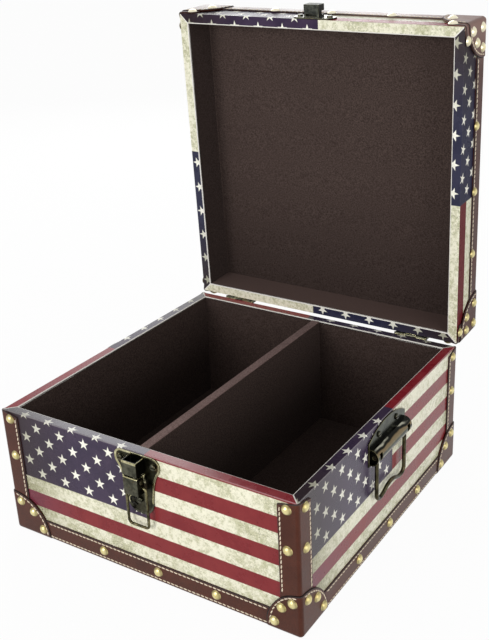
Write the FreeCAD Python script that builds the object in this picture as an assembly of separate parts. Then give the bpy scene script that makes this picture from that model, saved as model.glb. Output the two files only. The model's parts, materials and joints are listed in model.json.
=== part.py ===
"""Square keepsake case: lined base with a divider, hinged lid, leather trims, draw latch and bail handles.

Frame: millimetres, origin at the middle of the underside, +X to the right seen from the front, +Y to the
back, +Z up. The lid is drawn shut and then turned back to the open pose that it rests in.
"""
import FreeCAD, Part
import math
import os

V = FreeCAD.Vector
X_AXIS = V(1, 0, 0)
Y_AXIS = V(0, 1, 0)
Z_AXIS = V(0, 0, 1)

# Overall sizes
SIDE = 250.0            # width and depth over the printed cover
BASE_HEIGHT = 103.0     # surface it stands on to the base rim
LID_HEIGHT = 38.7       # lid rim to the top of the leather edge strips
RIM_GAP = 0.3           # between the two rims with the lid shut
LID_OPEN = 88.0         # degrees from shut to the open stop

# Sheets and boards
BOARD = 6.5
PRINT = 0.6
LINING = 0.9
LEATHER = 1.2           # leather strips, and the felt under the base
CAP = 2.0               # leather corner caps, which stand proud of the strips
FLOOR_BOARD = 6.0
TOP_BOARD = 6.0
DIVIDER_THICK = 7.0

# Leather trims
CORNER_STRIP_WIDTH = 14.5
CORNER_STRIP_SLANT = 3.5    # how much lower the strip ends at its free edge
CORNER_STRIP_RIM_GAP = 0.4
BASE_STRIP_HEIGHT = 16.0
LID_STRIP_HEIGHT = 15.0
STRIP_FOLD = 15.0           # how far a strip reaches under the base or over the lid
STRIP_ROUND = 2.6
CAP_REACH = 32.5            # how far a cap reaches along each edge from its corner
NEAR_CAP_REACH = 25.0       # the base's front right cap is narrower on the front
LID_FRONT_REACH = 29.0      # the lid's front caps are smaller, along the front
LID_SIDE_REACH = 27.0       # and along the sides
CAP_ROUND = 3.2
TRIM_END = 5.0              # strips end this far from the corner, under the caps

# Dome nails
NAIL_RADIUS = 3.8
NAIL_DOME = 2.1
NAIL_SHANK_RADIUS = 0.7
NAIL_SHANK_LENGTH = 6.0
CORNER_NAIL_INSET = 7.5
BASE_CORNER_NAILS = (97.0, 66.5)        # heights on the base corner strips
CAP_NAIL_ANGLES = (16.0, 48.0, 76.0)    # degrees up from the bottom edge, round a cap
CAP_NAIL_MARGIN = 5.0                   # nail middle to the edge of the cap
BASE_EDGE_NAIL_HEIGHT = 9.0
EDGE_NAIL_PITCH = 49.5
EDGE_NAIL_SHIFT = {"front": 9.7, "right": 3.8, "back": 0.0, "left": 0.0}
LID_EDGE_NAIL_DROP = 12.5               # below the top of the lid
LID_EDGE_NAIL_PITCH = 52.0
LID_EDGE_NAIL_SHIFT = 4.2
# Corner nails of the lid, from the edge and below the top; those below the caps sit on the strips
LID_BACK_NAILS = ((8.5, 34.4), (5.5, 22.6), (17.0, 22.5), (23.5, 6.8), (5.5, 6.8))
LID_SIDE_NAILS = ((10.5, 34.4), (5.3, 26.5), (14.5, 18.5), (19.5, 7.4), (4.8, 8.2))     # near the front
LID_FRONT_NAILS = ((10.5, 34.4), (18.0, 16.5))
LID_TOP_NAILS = ((21.0, 5.5), (15.0, 15.0), (5.5, 21.0))        # from the two edges

# Sheet metal and screws
SHEET = 1.0
PLATE = 1.2
SCREW_HEAD_RADIUS = 2.3
SCREW_HEAD = 1.3
SCREW_RADIUS = 1.0
SCREW_LENGTH = 6.0
SCREW_SLOT = 0.7
SCREW_SLOT_DEPTH = 0.5
RUNNING = 0.05          # radial clearance of a turning pin
TOUCHING = 0.01         # two points this close are the same point

# Hinges
PIN_OFFSET = 1.5        # pin axis behind the back face
PIN_RISE = 0.1          # pin axis above the base rim
PIN_RADIUS = 0.65
PIN_HEAD_RADIUS = 1.15
PIN_HEAD = 0.6
KNUCKLE_RADIUS = 1.35
KNUCKLE_GAP = 0.3
HINGE_X = 85.0          # middle of each hinge
HINGE_WIDTH = 28.0
HINGE_MIDDLE = 9.0      # length of the lid's knuckle
LEAF_HEIGHT = 18.0
LEAF_CLEAR = 1.5        # start of the flat leaf from the pin axis
HINGE_SCREW_X = 6.0
HINGE_SCREW_DROP = 11.0
STOP_WIDTH = 3.8        # lug that the open lid leaf comes to rest on
STOP_REACH = 7.0
STOP_THICK = 1.6
STOP_RISE = 0.05        # top of the lug above the pin axis

# Draw latch, on the middle of the front
LATCH_TOP = 102.4
LATCH_BOTTOM = 55.0
LATCH_OUTLINE = (           # right half of the plate: points, and middles and ends of arcs
    (0.0, LATCH_TOP), (13.2, LATCH_TOP), ((17.9, 100.4), (19.3, 96.4)), ((18.9, 93.2), (17.2, 90.2)),
    ((14.6, 84.5), (13.1, 78.0)), (11.7, 67.5), ((9.5, 59.3), (2.5, LATCH_BOTTOM)), (0.0, LATCH_BOTTOM))
LATCH_SCREWS = ((-14.0, 96.0), (14.0, 96.0), (0.0, 66.0))
LATCH_DEPTH = 9.5           # front of the housing and lever, from the face
LATCH_HALF = 6.15           # half width of the housing and lever
HOUSING_BOTTOM = 89.6
HOUSING_TOP = 100.5
LEVER_PIN = (5.9, 84.6)     # depth from the face, height
LEVER_PIN_RADIUS = 1.0
LEVER_PIN_HEAD_RADIUS = 1.8
LEVER_PIN_HEAD = 0.6
LEVER_PIN_PLAY = 0.2        # between the lever's cheeks and the pin's heads
LEVER_NOSE = 3.5            # round of the cheeks about the pin
LEVER_BOTTOM = 74.5
LEVER_ROUND = 0.9
EAR_INNER = 3.9             # ears of the plate, inside the lever's cheeks
EAR_RADIUS = 2.2
LOOP_PIN = (4.5, 79.0)      # depth from the face, height
LOOP_WIRE = 1.0             # wire radius
LOOP_HALF = 8.65            # half the distance between the legs
LOOP_LENGTH = 32.0
LOOP_END = 5.2              # where the wire ends stop, inside the lever's cheeks
LOOP_BEND = 2.0
LOOP_CORNER = 3.0

# Lid catch, on the middle of the lid's front
CATCH_HALF = 6.5
CATCH_DEPTH = 10.9          # front of the block, from the face
CATCH_START = 0.9           # above the lid rim
CATCH_LEDGE = 6.3           # seat for the loop, above the lid rim
CATCH_LIP = 10.2
CATCH_LIP_BACK = 5.9        # the loop lies between the lip
CATCH_HEEL = 3.1            # and the heel, both in depths from the face
CATCH_SLOT = (4.8, 2.2, 3.5)    # half width, and depths from the face, of the slot on the rim's side
CATCH_SLOT_LENGTH = 4.0
CATCH_OUTLINE = (           # right half of the plate, from the lid's middle and above its rim
    (0.0, 0.6), (12.0, 0.6), ((16.6, 2.8), (18.0, 7.0)), ((16.6, 11.2), (12.5, 12.6)),
    ((7.5, 15.8), (0.0, 17.0)))
CATCH_SCREW = (13.0, 7.0)

# Bail handles, on the two sides
HANDLE_Y = -2.0
HANDLE_HALF = 29.0
HANDLE_TOP = 102.6
HANDLE_SHOULDER = 94.5
HANDLE_BOTTOM = 76.0
HANDLE_SCREW = (14.0, 95.5)
BARREL_HALF = 27.6
BARREL_LOW = 77.0
BARREL_HIGH = 89.8
BARREL_DEPTH = 7.8          # front of the barrel, from the face
BARREL_FLAT = 3.4           # start of the barrel's round front, from the face
BAIL_PIN = (4.0, 83.0)      # depth from the face, height
BAIL_WIRE = 1.5             # wire radius
BAIL_HALF = 22.5            # half the distance between the legs
BAIL_LOW = 46.0             # middle of the wire at its low lobes
BAIL_HUMP = 4.2             # rise of the grip's middle
BAIL_CORNER = 5.0
BAIL_BEND = 2.0
WEB_START = 24.4            # end webs that carry the bail, set back in the barrel
WEB_END = 25.9
SLOT_START = 20.6           # slots that the legs swing in
SLOT_BACK = 2.0             # back of the slot, from the face
SLOT_TOP = 86.2

# Worked-out sizes
HALF = SIDE / 2
WALL_OUT = HALF - PRINT
WALL_IN = WALL_OUT - BOARD
INSIDE = WALL_IN - LINING
FLOOR_TOP = LEATHER + FLOOR_BOARD
FLOOR_LINED = FLOOR_TOP + LINING
BASE_BOARD_TOP = BASE_HEIGHT - PRINT
LID_RIM = BASE_HEIGHT + RIM_GAP
LID_LEATHER_TOP = LID_RIM + LID_HEIGHT
LID_TOP = LID_LEATHER_TOP - LEATHER
LID_BOARD_TOP = LID_TOP - PRINT
LID_WALL_TOP = LID_BOARD_TOP - TOP_BOARD
PIN_Y = HALF + PIN_OFFSET
PIN_Z = BASE_HEIGHT + PIN_RISE
WALLS = ("front", "right", "back", "left")
CORNERS = ((1, -1), (-1, -1), (1, 1), (-1, 1))
BASE_REACHES = dict.fromkeys(CORNERS, (CAP_REACH, CAP_REACH))
BASE_REACHES[(1, -1)] = (NEAR_CAP_REACH, CAP_REACH)
LID_REACHES = {c: (CAP_REACH, CAP_REACH) if c[1] > 0 else (LID_FRONT_REACH, LID_SIDE_REACH) for c in CORNERS}
SIDE_FRONT_ENDS = (("right", -1), ("left", 1))      # ends of the side walls at the front corners


def box(low, high):
    size = V(*high) - V(*low)
    return Part.makeBox(size.x, size.y, size.z, V(*low))


def cylinder(radius, start, end):
    along = V(*end) - V(*start)
    return Part.makeCylinder(radius, along.Length, V(*start), along)


def front_plane(u, w):
    return V(u, 0, w)


def side_plane(u, w):
    return V(0, u, w)


def floor_plane(u, w):
    return V(u, w, 0)


def path(plane, start, *steps):
    """Edges of a run: a step is the end of a line, or the middle and the end of an arc."""
    edges = []
    here = start
    for step in steps:
        if isinstance(step[0], tuple):
            middle, end = step
            edges.append(Part.Arc(plane(*here), plane(*middle), plane(*end)).toShape())
        else:
            end = step
            edges.append(Part.makeLine(plane(*here), plane(*end)))
        here = end
    return Part.Wire(edges)


def prism(plane, outline, move, along):
    """Solid of an outline, which returns to its first point, moved into place and extruded."""
    face = Part.Face(path(plane, *outline, outline[0]))
    face.translate(V(*move))
    return face.extrude(V(*along))


def arc_middle(centre, radius, degrees):
    angle = math.radians(degrees)
    return (centre[0] + radius * math.cos(angle), centre[1] + radius * math.sin(angle))


def mirrored(shape, normal):
    return shape.mirror(V(0, 0, 0), normal)


def both_halves(half):
    """A shape made whole from its +X half."""
    return half.fuse(mirrored(half, X_AXIS)).removeSplitter()


def turned(shape, quarter_turns):
    """A copy of a front wall's piece on the wall that many quarter turns round."""
    copy = shape.copy()
    copy.rotate(V(0, 0, 0), Z_AXIS, 90 * quarter_turns)
    return copy


def opened(shape):
    """A lid piece turned from shut to the open pose."""
    copy = shape.copy()
    copy.rotate(V(0, PIN_Y, PIN_Z), X_AXIS, -LID_OPEN)
    return copy


def group(shapes):
    return Part.makeCompound(list(shapes))


def save(name, shape):
    shape.exportStep("parts/" + name + ".step")


# Walls, covers and linings

def mitred(out, inner, low, high):
    """Front wall between two offsets, with its ends cut at 45 degrees."""
    outline = [(-out, -out), (out, -out), (inner, -inner), (-inner, -inner)]
    return prism(floor_plane, outline, (0, 0, low), (0, 0, high - low))


def base_cover():
    """Printed sheet on the front wall, folded over the rim."""
    sheet = mitred(HALF, WALL_OUT, LEATHER, BASE_HEIGHT)
    rim = mitred(WALL_OUT, INSIDE, BASE_BOARD_TOP, BASE_HEIGHT)
    return sheet.fuse(rim).removeSplitter()


def lid_cover():
    """Printed sheet on the lid's front wall, folded over its rim."""
    sheet = mitred(HALF, WALL_OUT, LID_RIM, LID_BOARD_TOP)
    rim = mitred(WALL_OUT, INSIDE, LID_RIM, LID_RIM + PRINT)
    return sheet.fuse(rim).removeSplitter()


def square_sheet(half, low, high):
    return box((-half, -half, low), (half, half, high))


def wall_lining(low, high):
    return square_sheet(WALL_IN, low, high).cut(square_sheet(INSIDE, low, high))


def divider():
    """Board in the middle of the base, flush with the rim, and the lining folded over it."""
    half = DIVIDER_THICK / 2
    whole = box((-half, -INSIDE, FLOOR_LINED), (half, INSIDE, BASE_HEIGHT))
    inner = half - LINING
    board = box((-inner, -INSIDE, FLOOR_LINED), (inner, INSIDE, BASE_HEIGHT - LINING))
    return board, whole.cut(board)


# Leather trims, drawn round an edge or corner of the bottom at z = 0 of the cover

def rounded(shape, radius, wanted):
    """Fillet of the edges whose middle point the test accepts."""
    edges = [e for e in shape.Edges if wanted(e.valueAt((e.FirstParameter + e.LastParameter) / 2))]
    return shape.makeFillet(radius, edges)


def near(value, target):
    return abs(value - target) < TOUCHING


def edge_strip(height):
    """Strip folded round the bottom edge of the front wall."""
    out = -HALF - LEATHER
    start = (out, STRIP_ROUND - LEATHER)
    bend = arc_middle((out + STRIP_ROUND, STRIP_ROUND - LEATHER), STRIP_ROUND, 225)
    outline = [start, (bend, (out + STRIP_ROUND, -LEATHER)), (STRIP_FOLD - HALF, -LEATHER),
               (STRIP_FOLD - HALF, 0.0), (-HALF, 0.0), (-HALF, height), (out, height)]
    length = SIDE - 2 * TRIM_END
    return prism(side_plane, outline, (-length / 2, 0, 0), (length, 0, 0))


def corner_strip(height):
    """Strip folded round the right back upright corner, lower at its two free edges."""
    out = HALF + LEATHER
    free = HALF - CORNER_STRIP_WIDTH
    outline = [(out, TRIM_END), (out, height), (HALF, height),
               (free, height - CORNER_STRIP_SLANT), (free, TRIM_END)]
    back_leg = prism(front_plane, outline, (0, HALF, 0), (0, LEATHER, 0))
    side_leg = prism(side_plane, outline, (HALF, 0, 0), (LEATHER, 0, 0))
    whole = back_leg.fuse(side_leg).removeSplitter()
    return rounded(whole, STRIP_ROUND, lambda p: near(p.x, out) and near(p.y, out))


def quarter_outline(out, reach_u, reach_w, below):
    """Outline of one cap leg: square past the corner, round on the wall."""
    bend = (HALF - reach_u * math.sqrt(0.5), reach_w * math.sqrt(0.5))
    return [(out, -below), (out, reach_w), (HALF, reach_w),
            (bend, (HALF - reach_u, 0.0)), (HALF - reach_u, -below)]


def corner_cap(reaches, below):
    """Cap over the right back bottom corner, on two walls and underneath."""
    reach_x, reach_y = reaches
    out = HALF + CAP
    back_leg = prism(front_plane, quarter_outline(out, reach_x, CAP_REACH, below), (0, HALF, 0), (0, CAP, 0))
    side_leg = prism(side_plane, quarter_outline(out, reach_y, CAP_REACH, below), (HALF, 0, 0), (CAP, 0, 0))
    bend = (HALF - reach_x * math.sqrt(0.5), HALF - reach_y * math.sqrt(0.5))
    foot_outline = [(out, out), (HALF - reach_x, out), (HALF - reach_x, HALF),
                    (bend, (HALF, HALF - reach_y)), (out, HALF - reach_y)]
    foot = prism(floor_plane, foot_outline, (0, 0, -below), (0, 0, below))
    whole = back_leg.fuse([side_leg, foot]).removeSplitter()

    def outer_edge(p):
        return near(p.x, out) + near(p.y, out) + near(p.z, -below) == 2
    return rounded(whole, CAP_ROUND, outer_edge)


def at_corner(shape, corner):
    """Right back corner piece mirrored to another corner."""
    if corner[0] < 0:
        shape = mirrored(shape, X_AXIS)
    if corner[1] < 0:
        shape = mirrored(shape, Y_AXIS)
    return shape


def trims(strip_height, corner_height, below, reaches):
    """Edge strips, corner strips and caps of a base whose cover starts at z = 0."""
    caps = [at_corner(corner_cap(reaches[c], below), c) for c in CORNERS]
    edges = [turned(edge_strip(strip_height), k).cut(caps) for k in range(4)]
    corners = [at_corner(corner_strip(corner_height), c).cut(caps) for c in CORNERS]
    return edges, corners, caps


def raised(shape):
    """Base trim moved up from z = 0 to where the base cover starts."""
    copy = shape.copy()
    copy.translate(V(0, 0, LEATHER))
    return copy


def inverted(shape):
    """Trim drawn for a base, turned over onto the top of the lid."""
    copy = mirrored(shape, Z_AXIS)
    copy.translate(V(0, 0, LID_TOP))
    return copy


# Nails and screws

def dome_nail():
    """Nail along +Z with the underside of its head at the origin."""
    half_height = NAIL_DOME / 2
    sphere = (NAIL_RADIUS ** 2 + NAIL_DOME ** 2) / (2 * NAIL_DOME)
    half_way = (math.sqrt(sphere ** 2 - (sphere - half_height) ** 2), half_height)
    taper = 2 * NAIL_SHANK_RADIUS
    outline = [(0.0, -NAIL_SHANK_LENGTH), (NAIL_SHANK_RADIUS, taper - NAIL_SHANK_LENGTH),
               (NAIL_SHANK_RADIUS, 0.0), (NAIL_RADIUS, 0.0), (half_way, (0.0, NAIL_DOME))]
    face = Part.Face(path(front_plane, *outline, outline[0]))
    return face.revolve(V(0, 0, 0), Z_AXIS, 360)


def screw():
    """Slotted pan-head screw along +Z with the underside of its head at the origin."""
    head = cylinder(SCREW_HEAD_RADIUS, (0, 0, 0), (0, 0, SCREW_HEAD))
    head = rounded(head, SCREW_HEAD / 2, lambda p: near(p.z, SCREW_HEAD))
    half = SCREW_SLOT / 2
    slot_low = SCREW_HEAD - SCREW_SLOT_DEPTH
    slot = box((-SCREW_HEAD_RADIUS, -half, slot_low), (SCREW_HEAD_RADIUS, half, SCREW_HEAD))
    shank = cylinder(SCREW_RADIUS, (0, 0, -SCREW_LENGTH), (0, 0, 0))
    return head.cut(slot).fuse(shank).removeSplitter()


def on_wall(shape, wall, u, height, proud):
    """A +Z fastener driven into a wall, at u from the wall's middle, left to right from outside."""
    copy = shape.copy()
    copy.rotate(V(0, 0, 0), X_AXIS, 90)
    copy.translate(V(u, -HALF - proud, height))
    return turned(copy, WALLS.index(wall))


def cap_nail_places(reach_u):
    """Places of a cap's nails on one wall, from the corner's edge and from the bottom."""
    for degrees in CAP_NAIL_ANGLES:
        angle = math.radians(degrees)
        yield ((reach_u - CAP_NAIL_MARGIN) * math.cos(angle), (CAP_REACH - CAP_NAIL_MARGIN) * math.sin(angle))


def base_nails():
    nail = dome_nail()
    for wall in WALLS:
        for end in (-1, 1):
            for height in BASE_CORNER_NAILS:
                yield on_wall(nail, wall, end * (HALF - CORNER_NAIL_INSET), height, LEATHER)
            reach = NEAR_CAP_REACH if (wall, end) == ("front", 1) else CAP_REACH
            for inset, height in cap_nail_places(reach):
                yield on_wall(nail, wall, end * (HALF - inset), height, CAP)
        for step in (-1, 0, 1):
            u = EDGE_NAIL_SHIFT[wall] + step * EDGE_NAIL_PITCH
            yield on_wall(nail, wall, u, BASE_EDGE_NAIL_HEIGHT, LEATHER)


def lid_corner_nails(wall, end):
    """Places of the nails at one end of a lid wall."""
    if wall == "front":
        return LID_FRONT_NAILS
    return LID_SIDE_NAILS if (wall, end) in SIDE_FRONT_ENDS else LID_BACK_NAILS


def lid_nails():
    nail = dome_nail()
    for wall in WALLS:
        for end in (-1, 1):
            for inset, drop in lid_corner_nails(wall, end):
                proud = LEATHER if drop > CAP_REACH else CAP
                yield on_wall(nail, wall, end * (HALF - inset), LID_LEATHER_TOP - drop, proud)
        for step in (-1, 0, 1):
            u = LID_EDGE_NAIL_SHIFT + step * LID_EDGE_NAIL_PITCH
            yield on_wall(nail, wall, u, LID_LEATHER_TOP - LID_EDGE_NAIL_DROP, LEATHER)
    for corner in CORNERS:
        for from_side, from_end in LID_TOP_NAILS:
            copy = nail.copy()
            copy.translate(V(HALF - from_side, HALF - from_end, LID_TOP + CAP))
            yield at_corner(copy, corner)


# Hinges

def knuckle(start, end, hole):
    tube = cylinder(KNUCKLE_RADIUS, (start, PIN_Y, PIN_Z), (end, PIN_Y, PIN_Z))
    return tube.cut(cylinder(hole, (start, PIN_Y, PIN_Z), (end, PIN_Y, PIN_Z)))


def leaf(middle, zones, hole, up):
    """Flat leaf on the outside of the back, with a knuckle in each zone; up is 1 or -1."""
    half = HINGE_WIDTH / 2
    heights = sorted((PIN_Z + up * LEAF_CLEAR, PIN_Z + up * LEAF_HEIGHT))
    plate = box((middle - half, HALF, heights[0]), (middle + half, HALF + PLATE, heights[1]))
    pieces = []
    for start, end in zones:
        neck_heights = sorted((PIN_Z, PIN_Z + up * LEAF_CLEAR))
        neck = box((middle + start, HALF, neck_heights[0]), (middle + end, HALF + PLATE, neck_heights[1]))
        pin_room = cylinder(hole, (middle + start, PIN_Y, PIN_Z), (middle + end, PIN_Y, PIN_Z))
        pieces.append(neck.cut(pin_room))
        pieces.append(knuckle(middle + start, middle + end, hole))
    for u in (-HINGE_SCREW_X, HINGE_SCREW_X):
        x = middle + u
        height = PIN_Z + up * HINGE_SCREW_DROP
        plate = plate.cut(cylinder(SCREW_RADIUS, (x, HALF, height), (x, HALF + PLATE, height)))
    return plate.fuse(pieces).removeSplitter()


def base_leaf(middle):
    """Lower leaf: two outer knuckles that hold the pin, and the lug that stops the lid."""
    half = HINGE_WIDTH / 2
    inner = HINGE_MIDDLE / 2 + KNUCKLE_GAP
    body = leaf(middle, ((-half, -inner), (inner, half)), PIN_RADIUS, -1)
    top = PIN_Z + STOP_RISE
    lug = box((middle + half - STOP_WIDTH, PIN_Y, top - STOP_THICK), (middle + half, PIN_Y + STOP_REACH, top))
    pin_room = cylinder(PIN_RADIUS, (middle - half, PIN_Y, PIN_Z), (middle + half, PIN_Y, PIN_Z))
    return body.fuse(lug.cut(pin_room)).removeSplitter()


def lid_leaf(middle):
    """Upper leaf: one middle knuckle that turns on the pin."""
    return leaf(middle, ((-HINGE_MIDDLE / 2, HINGE_MIDDLE / 2),), PIN_RADIUS + RUNNING, 1)


def hinge_pin(middle):
    half = HINGE_WIDTH / 2
    pin = cylinder(PIN_RADIUS, (middle - half, PIN_Y, PIN_Z), (middle + half, PIN_Y, PIN_Z))
    heads = []
    for end in (-1, 1):
        start = (middle + end * half, PIN_Y, PIN_Z)
        heads.append(cylinder(PIN_HEAD_RADIUS, start, (middle + end * (half + PIN_HEAD), PIN_Y, PIN_Z)))
    return pin.fuse(heads).removeSplitter()


def hinge_screws(up):
    for middle in (-HINGE_X, HINGE_X):
        for u in (-HINGE_SCREW_X, HINGE_SCREW_X):
            yield on_wall(screw(), "back", -middle - u, PIN_Z + up * HINGE_SCREW_DROP, PLATE)


# Draw latch

def screw_hole(x, height):
    return cylinder(SCREW_RADIUS, (x, -HALF - PLATE, height), (x, -HALF, height))


def latch_plate():
    """Vase-shaped plate with two ears for the lever's pin."""
    plate = both_halves(prism(front_plane, LATCH_OUTLINE, (0, -HALF, 0), (0, -PLATE, 0)))
    for x, height in LATCH_SCREWS:
        plate = plate.cut(screw_hole(x, height))
    pin_y = -HALF - LEVER_PIN[0]
    pin_z = LEVER_PIN[1]
    ear_outline = [(-HALF - PLATE, pin_z - EAR_RADIUS), (-HALF - PLATE, pin_z + EAR_RADIUS),
                   (pin_y, pin_z + EAR_RADIUS), ((pin_y - EAR_RADIUS, pin_z), (pin_y, pin_z - EAR_RADIUS))]
    ear = prism(side_plane, ear_outline, (EAR_INNER, 0, 0), (SHEET, 0, 0))
    ear = ear.cut(cylinder(LEVER_PIN_RADIUS, (EAR_INNER, pin_y, pin_z), (EAR_INNER + SHEET, pin_y, pin_z)))
    return plate.fuse([ear, mirrored(ear, X_AXIS)])


def latch_housing():
    """Folded box above the lever, open at its top and bottom."""
    inner = LATCH_HALF - SHEET
    front = -HALF - LATCH_DEPTH
    whole = box((-LATCH_HALF, front, HOUSING_BOTTOM), (LATCH_HALF, -HALF - PLATE, HOUSING_TOP))
    return whole.cut(box((-inner, front + SHEET, HOUSING_BOTTOM), (inner, -HALF - PLATE, HOUSING_TOP)))


def latch_lever():
    """Channel over the ears, with holes for its pin and the wire loop."""
    pin_y = -HALF - LEVER_PIN[0]
    pin_z = LEVER_PIN[1]
    front = -HALF - LATCH_DEPTH
    back = pin_y + LEVER_NOSE
    top = pin_z + LEVER_NOSE
    outline = [(front, LEVER_BOTTOM), (front, top), (pin_y, top),
               (arc_middle((pin_y, pin_z), LEVER_NOSE, 45), (back, pin_z)), (back, LEVER_BOTTOM)]
    whole = prism(side_plane, outline, (-LATCH_HALF, 0, 0), (2 * LATCH_HALF, 0, 0))
    inner = LATCH_HALF - SHEET
    room = box((-inner, front + SHEET, LEVER_BOTTOM), (inner, back, top))
    lever = rounded(whole.cut(room), LEVER_ROUND, lambda p: near(p.y, front) and near(p.z, top))
    for (depth, height), radius in ((LEVER_PIN, LEVER_PIN_RADIUS), (LOOP_PIN, LOOP_WIRE)):
        start = (-LATCH_HALF, -HALF - depth, height)
        lever = lever.cut(cylinder(radius + RUNNING, start, (LATCH_HALF, -HALF - depth, height)))
    return lever


def lever_pin():
    y = -HALF - LEVER_PIN[0]
    z = LEVER_PIN[1]
    head_start = LATCH_HALF + LEVER_PIN_PLAY
    pin = cylinder(LEVER_PIN_RADIUS, (-head_start, y, z), (head_start, y, z))
    heads = []
    for end in (-1, 1):
        far = (end * (head_start + LEVER_PIN_HEAD), y, z)
        heads.append(cylinder(LEVER_PIN_HEAD_RADIUS, (end * head_start, y, z), far))
    return pin.fuse(heads).removeSplitter()


def wire_along(run, start, radius, towards):
    """Round wire swept along a flat run."""
    ring = Part.Wire(Part.makeCircle(radius, start, towards))
    return run.makePipeShell([ring], True, False)


def latch_loop():
    """Wire loop hanging from the lever, with its two ends turned in."""
    top = LOOP_PIN[1]
    low = top - LOOP_LENGTH
    leg_top = top - LOOP_BEND
    corner = low + LOOP_CORNER
    bend = arc_middle((-LOOP_HALF + LOOP_BEND, leg_top), LOOP_BEND, 135)
    elbow = arc_middle((-LOOP_HALF + LOOP_CORNER, corner), LOOP_CORNER, 225)
    run = path(front_plane, (-LOOP_END, top), (-LOOP_HALF + LOOP_BEND, top), (bend, (-LOOP_HALF, leg_top)),
               (-LOOP_HALF, corner), (elbow, (-LOOP_HALF + LOOP_CORNER, low)), (LOOP_HALF - LOOP_CORNER, low),
               ((-elbow[0], elbow[1]), (LOOP_HALF, corner)), (LOOP_HALF, leg_top),
               ((-bend[0], bend[1]), (LOOP_HALF - LOOP_BEND, top)), (LOOP_END, top))
    wire = wire_along(run, V(-LOOP_END, 0, top), LOOP_WIRE, X_AXIS)
    wire.translate(V(0, -HALF - LOOP_PIN[0], 0))
    return wire


def latch_screws():
    for x, height in LATCH_SCREWS:
        yield on_wall(screw(), "front", x, height, PLATE)


# Lid catch

def lid_catch():
    """Lobed plate with a slotted block that the loop hooks over."""
    plate = both_halves(prism(front_plane, CATCH_OUTLINE, (0, -HALF, LID_RIM), (0, -PLATE, 0)))
    for end in (-1, 1):
        plate = plate.cut(screw_hole(end * CATCH_SCREW[0], LID_RIM + CATCH_SCREW[1]))
    front = -HALF - CATCH_DEPTH
    bottom = LID_RIM + CATCH_START
    ledge = LID_RIM + CATCH_LEDGE
    block = box((-CATCH_HALF, front, bottom), (CATCH_HALF, -HALF - PLATE, ledge))
    half, shallow, deep = CATCH_SLOT
    block = block.cut(box((-half, -HALF - deep, bottom), (half, -HALF - shallow, bottom + CATCH_SLOT_LENGTH)))
    lip = box((-CATCH_HALF, front, ledge), (CATCH_HALF, -HALF - CATCH_LIP_BACK, LID_RIM + CATCH_LIP))
    heel = box((-CATCH_HALF, -HALF - CATCH_HEEL, ledge), (CATCH_HALF, -HALF - PLATE, LID_RIM + CATCH_LIP))
    return plate.fuse([block, lip, heel]).removeSplitter()


def catch_screws():
    for end in (-1, 1):
        yield on_wall(screw(), "front", end * CATCH_SCREW[0], LID_RIM + CATCH_SCREW[1], PLATE)


# Bail handles, drawn on the front wall about u = 0 and then turned to the sides

def barrel_section(inset):
    """Section of the rolled barrel, in depth from the face and height."""
    middle = (BARREL_LOW + BARREL_HIGH) / 2
    low = BARREL_LOW + inset
    high = BARREL_HIGH - inset
    front = BARREL_DEPTH - inset
    return [(-PLATE, low), (-BARREL_FLAT, low), ((-front, middle), (-BARREL_FLAT, high)), (-PLATE, high)]


def barrel_solid(inset, start, end):
    return prism(side_plane, barrel_section(inset), (start, -HALF, 0), (end - start, 0, 0))


def bail_bore(start, end, radius):
    y = -HALF - BAIL_PIN[0]
    return cylinder(radius, (start, y, BAIL_PIN[1]), (end, y, BAIL_PIN[1]))


def handle_plate():
    """Arched plate with a rolled barrel, slotted for the legs and webbed at the ends."""
    outline = [(-HANDLE_HALF, HANDLE_BOTTOM), (-HANDLE_HALF, HANDLE_SHOULDER),
               ((0.0, HANDLE_TOP), (HANDLE_HALF, HANDLE_SHOULDER)), (HANDLE_HALF, HANDLE_BOTTOM)]
    plate = prism(front_plane, outline, (0, -HALF, 0), (0, -PLATE, 0))
    for end in (-1, 1):
        plate = plate.cut(screw_hole(end * HANDLE_SCREW[0], HANDLE_SCREW[1]))
    barrel = barrel_solid(0.0, -BARREL_HALF, BARREL_HALF).cut(barrel_solid(SHEET, -BARREL_HALF, BARREL_HALF))
    slot = box((SLOT_START, -HALF - BARREL_DEPTH, BARREL_LOW), (WEB_START, -HALF - SLOT_BACK, SLOT_TOP))
    web = barrel_solid(SHEET, WEB_START, WEB_END).cut(bail_bore(WEB_START, WEB_END, BAIL_WIRE + RUNNING))
    barrel = barrel.cut([slot, mirrored(slot, X_AXIS)])
    return plate.fuse([barrel, web, mirrored(web, X_AXIS)]).removeSplitter()


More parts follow.
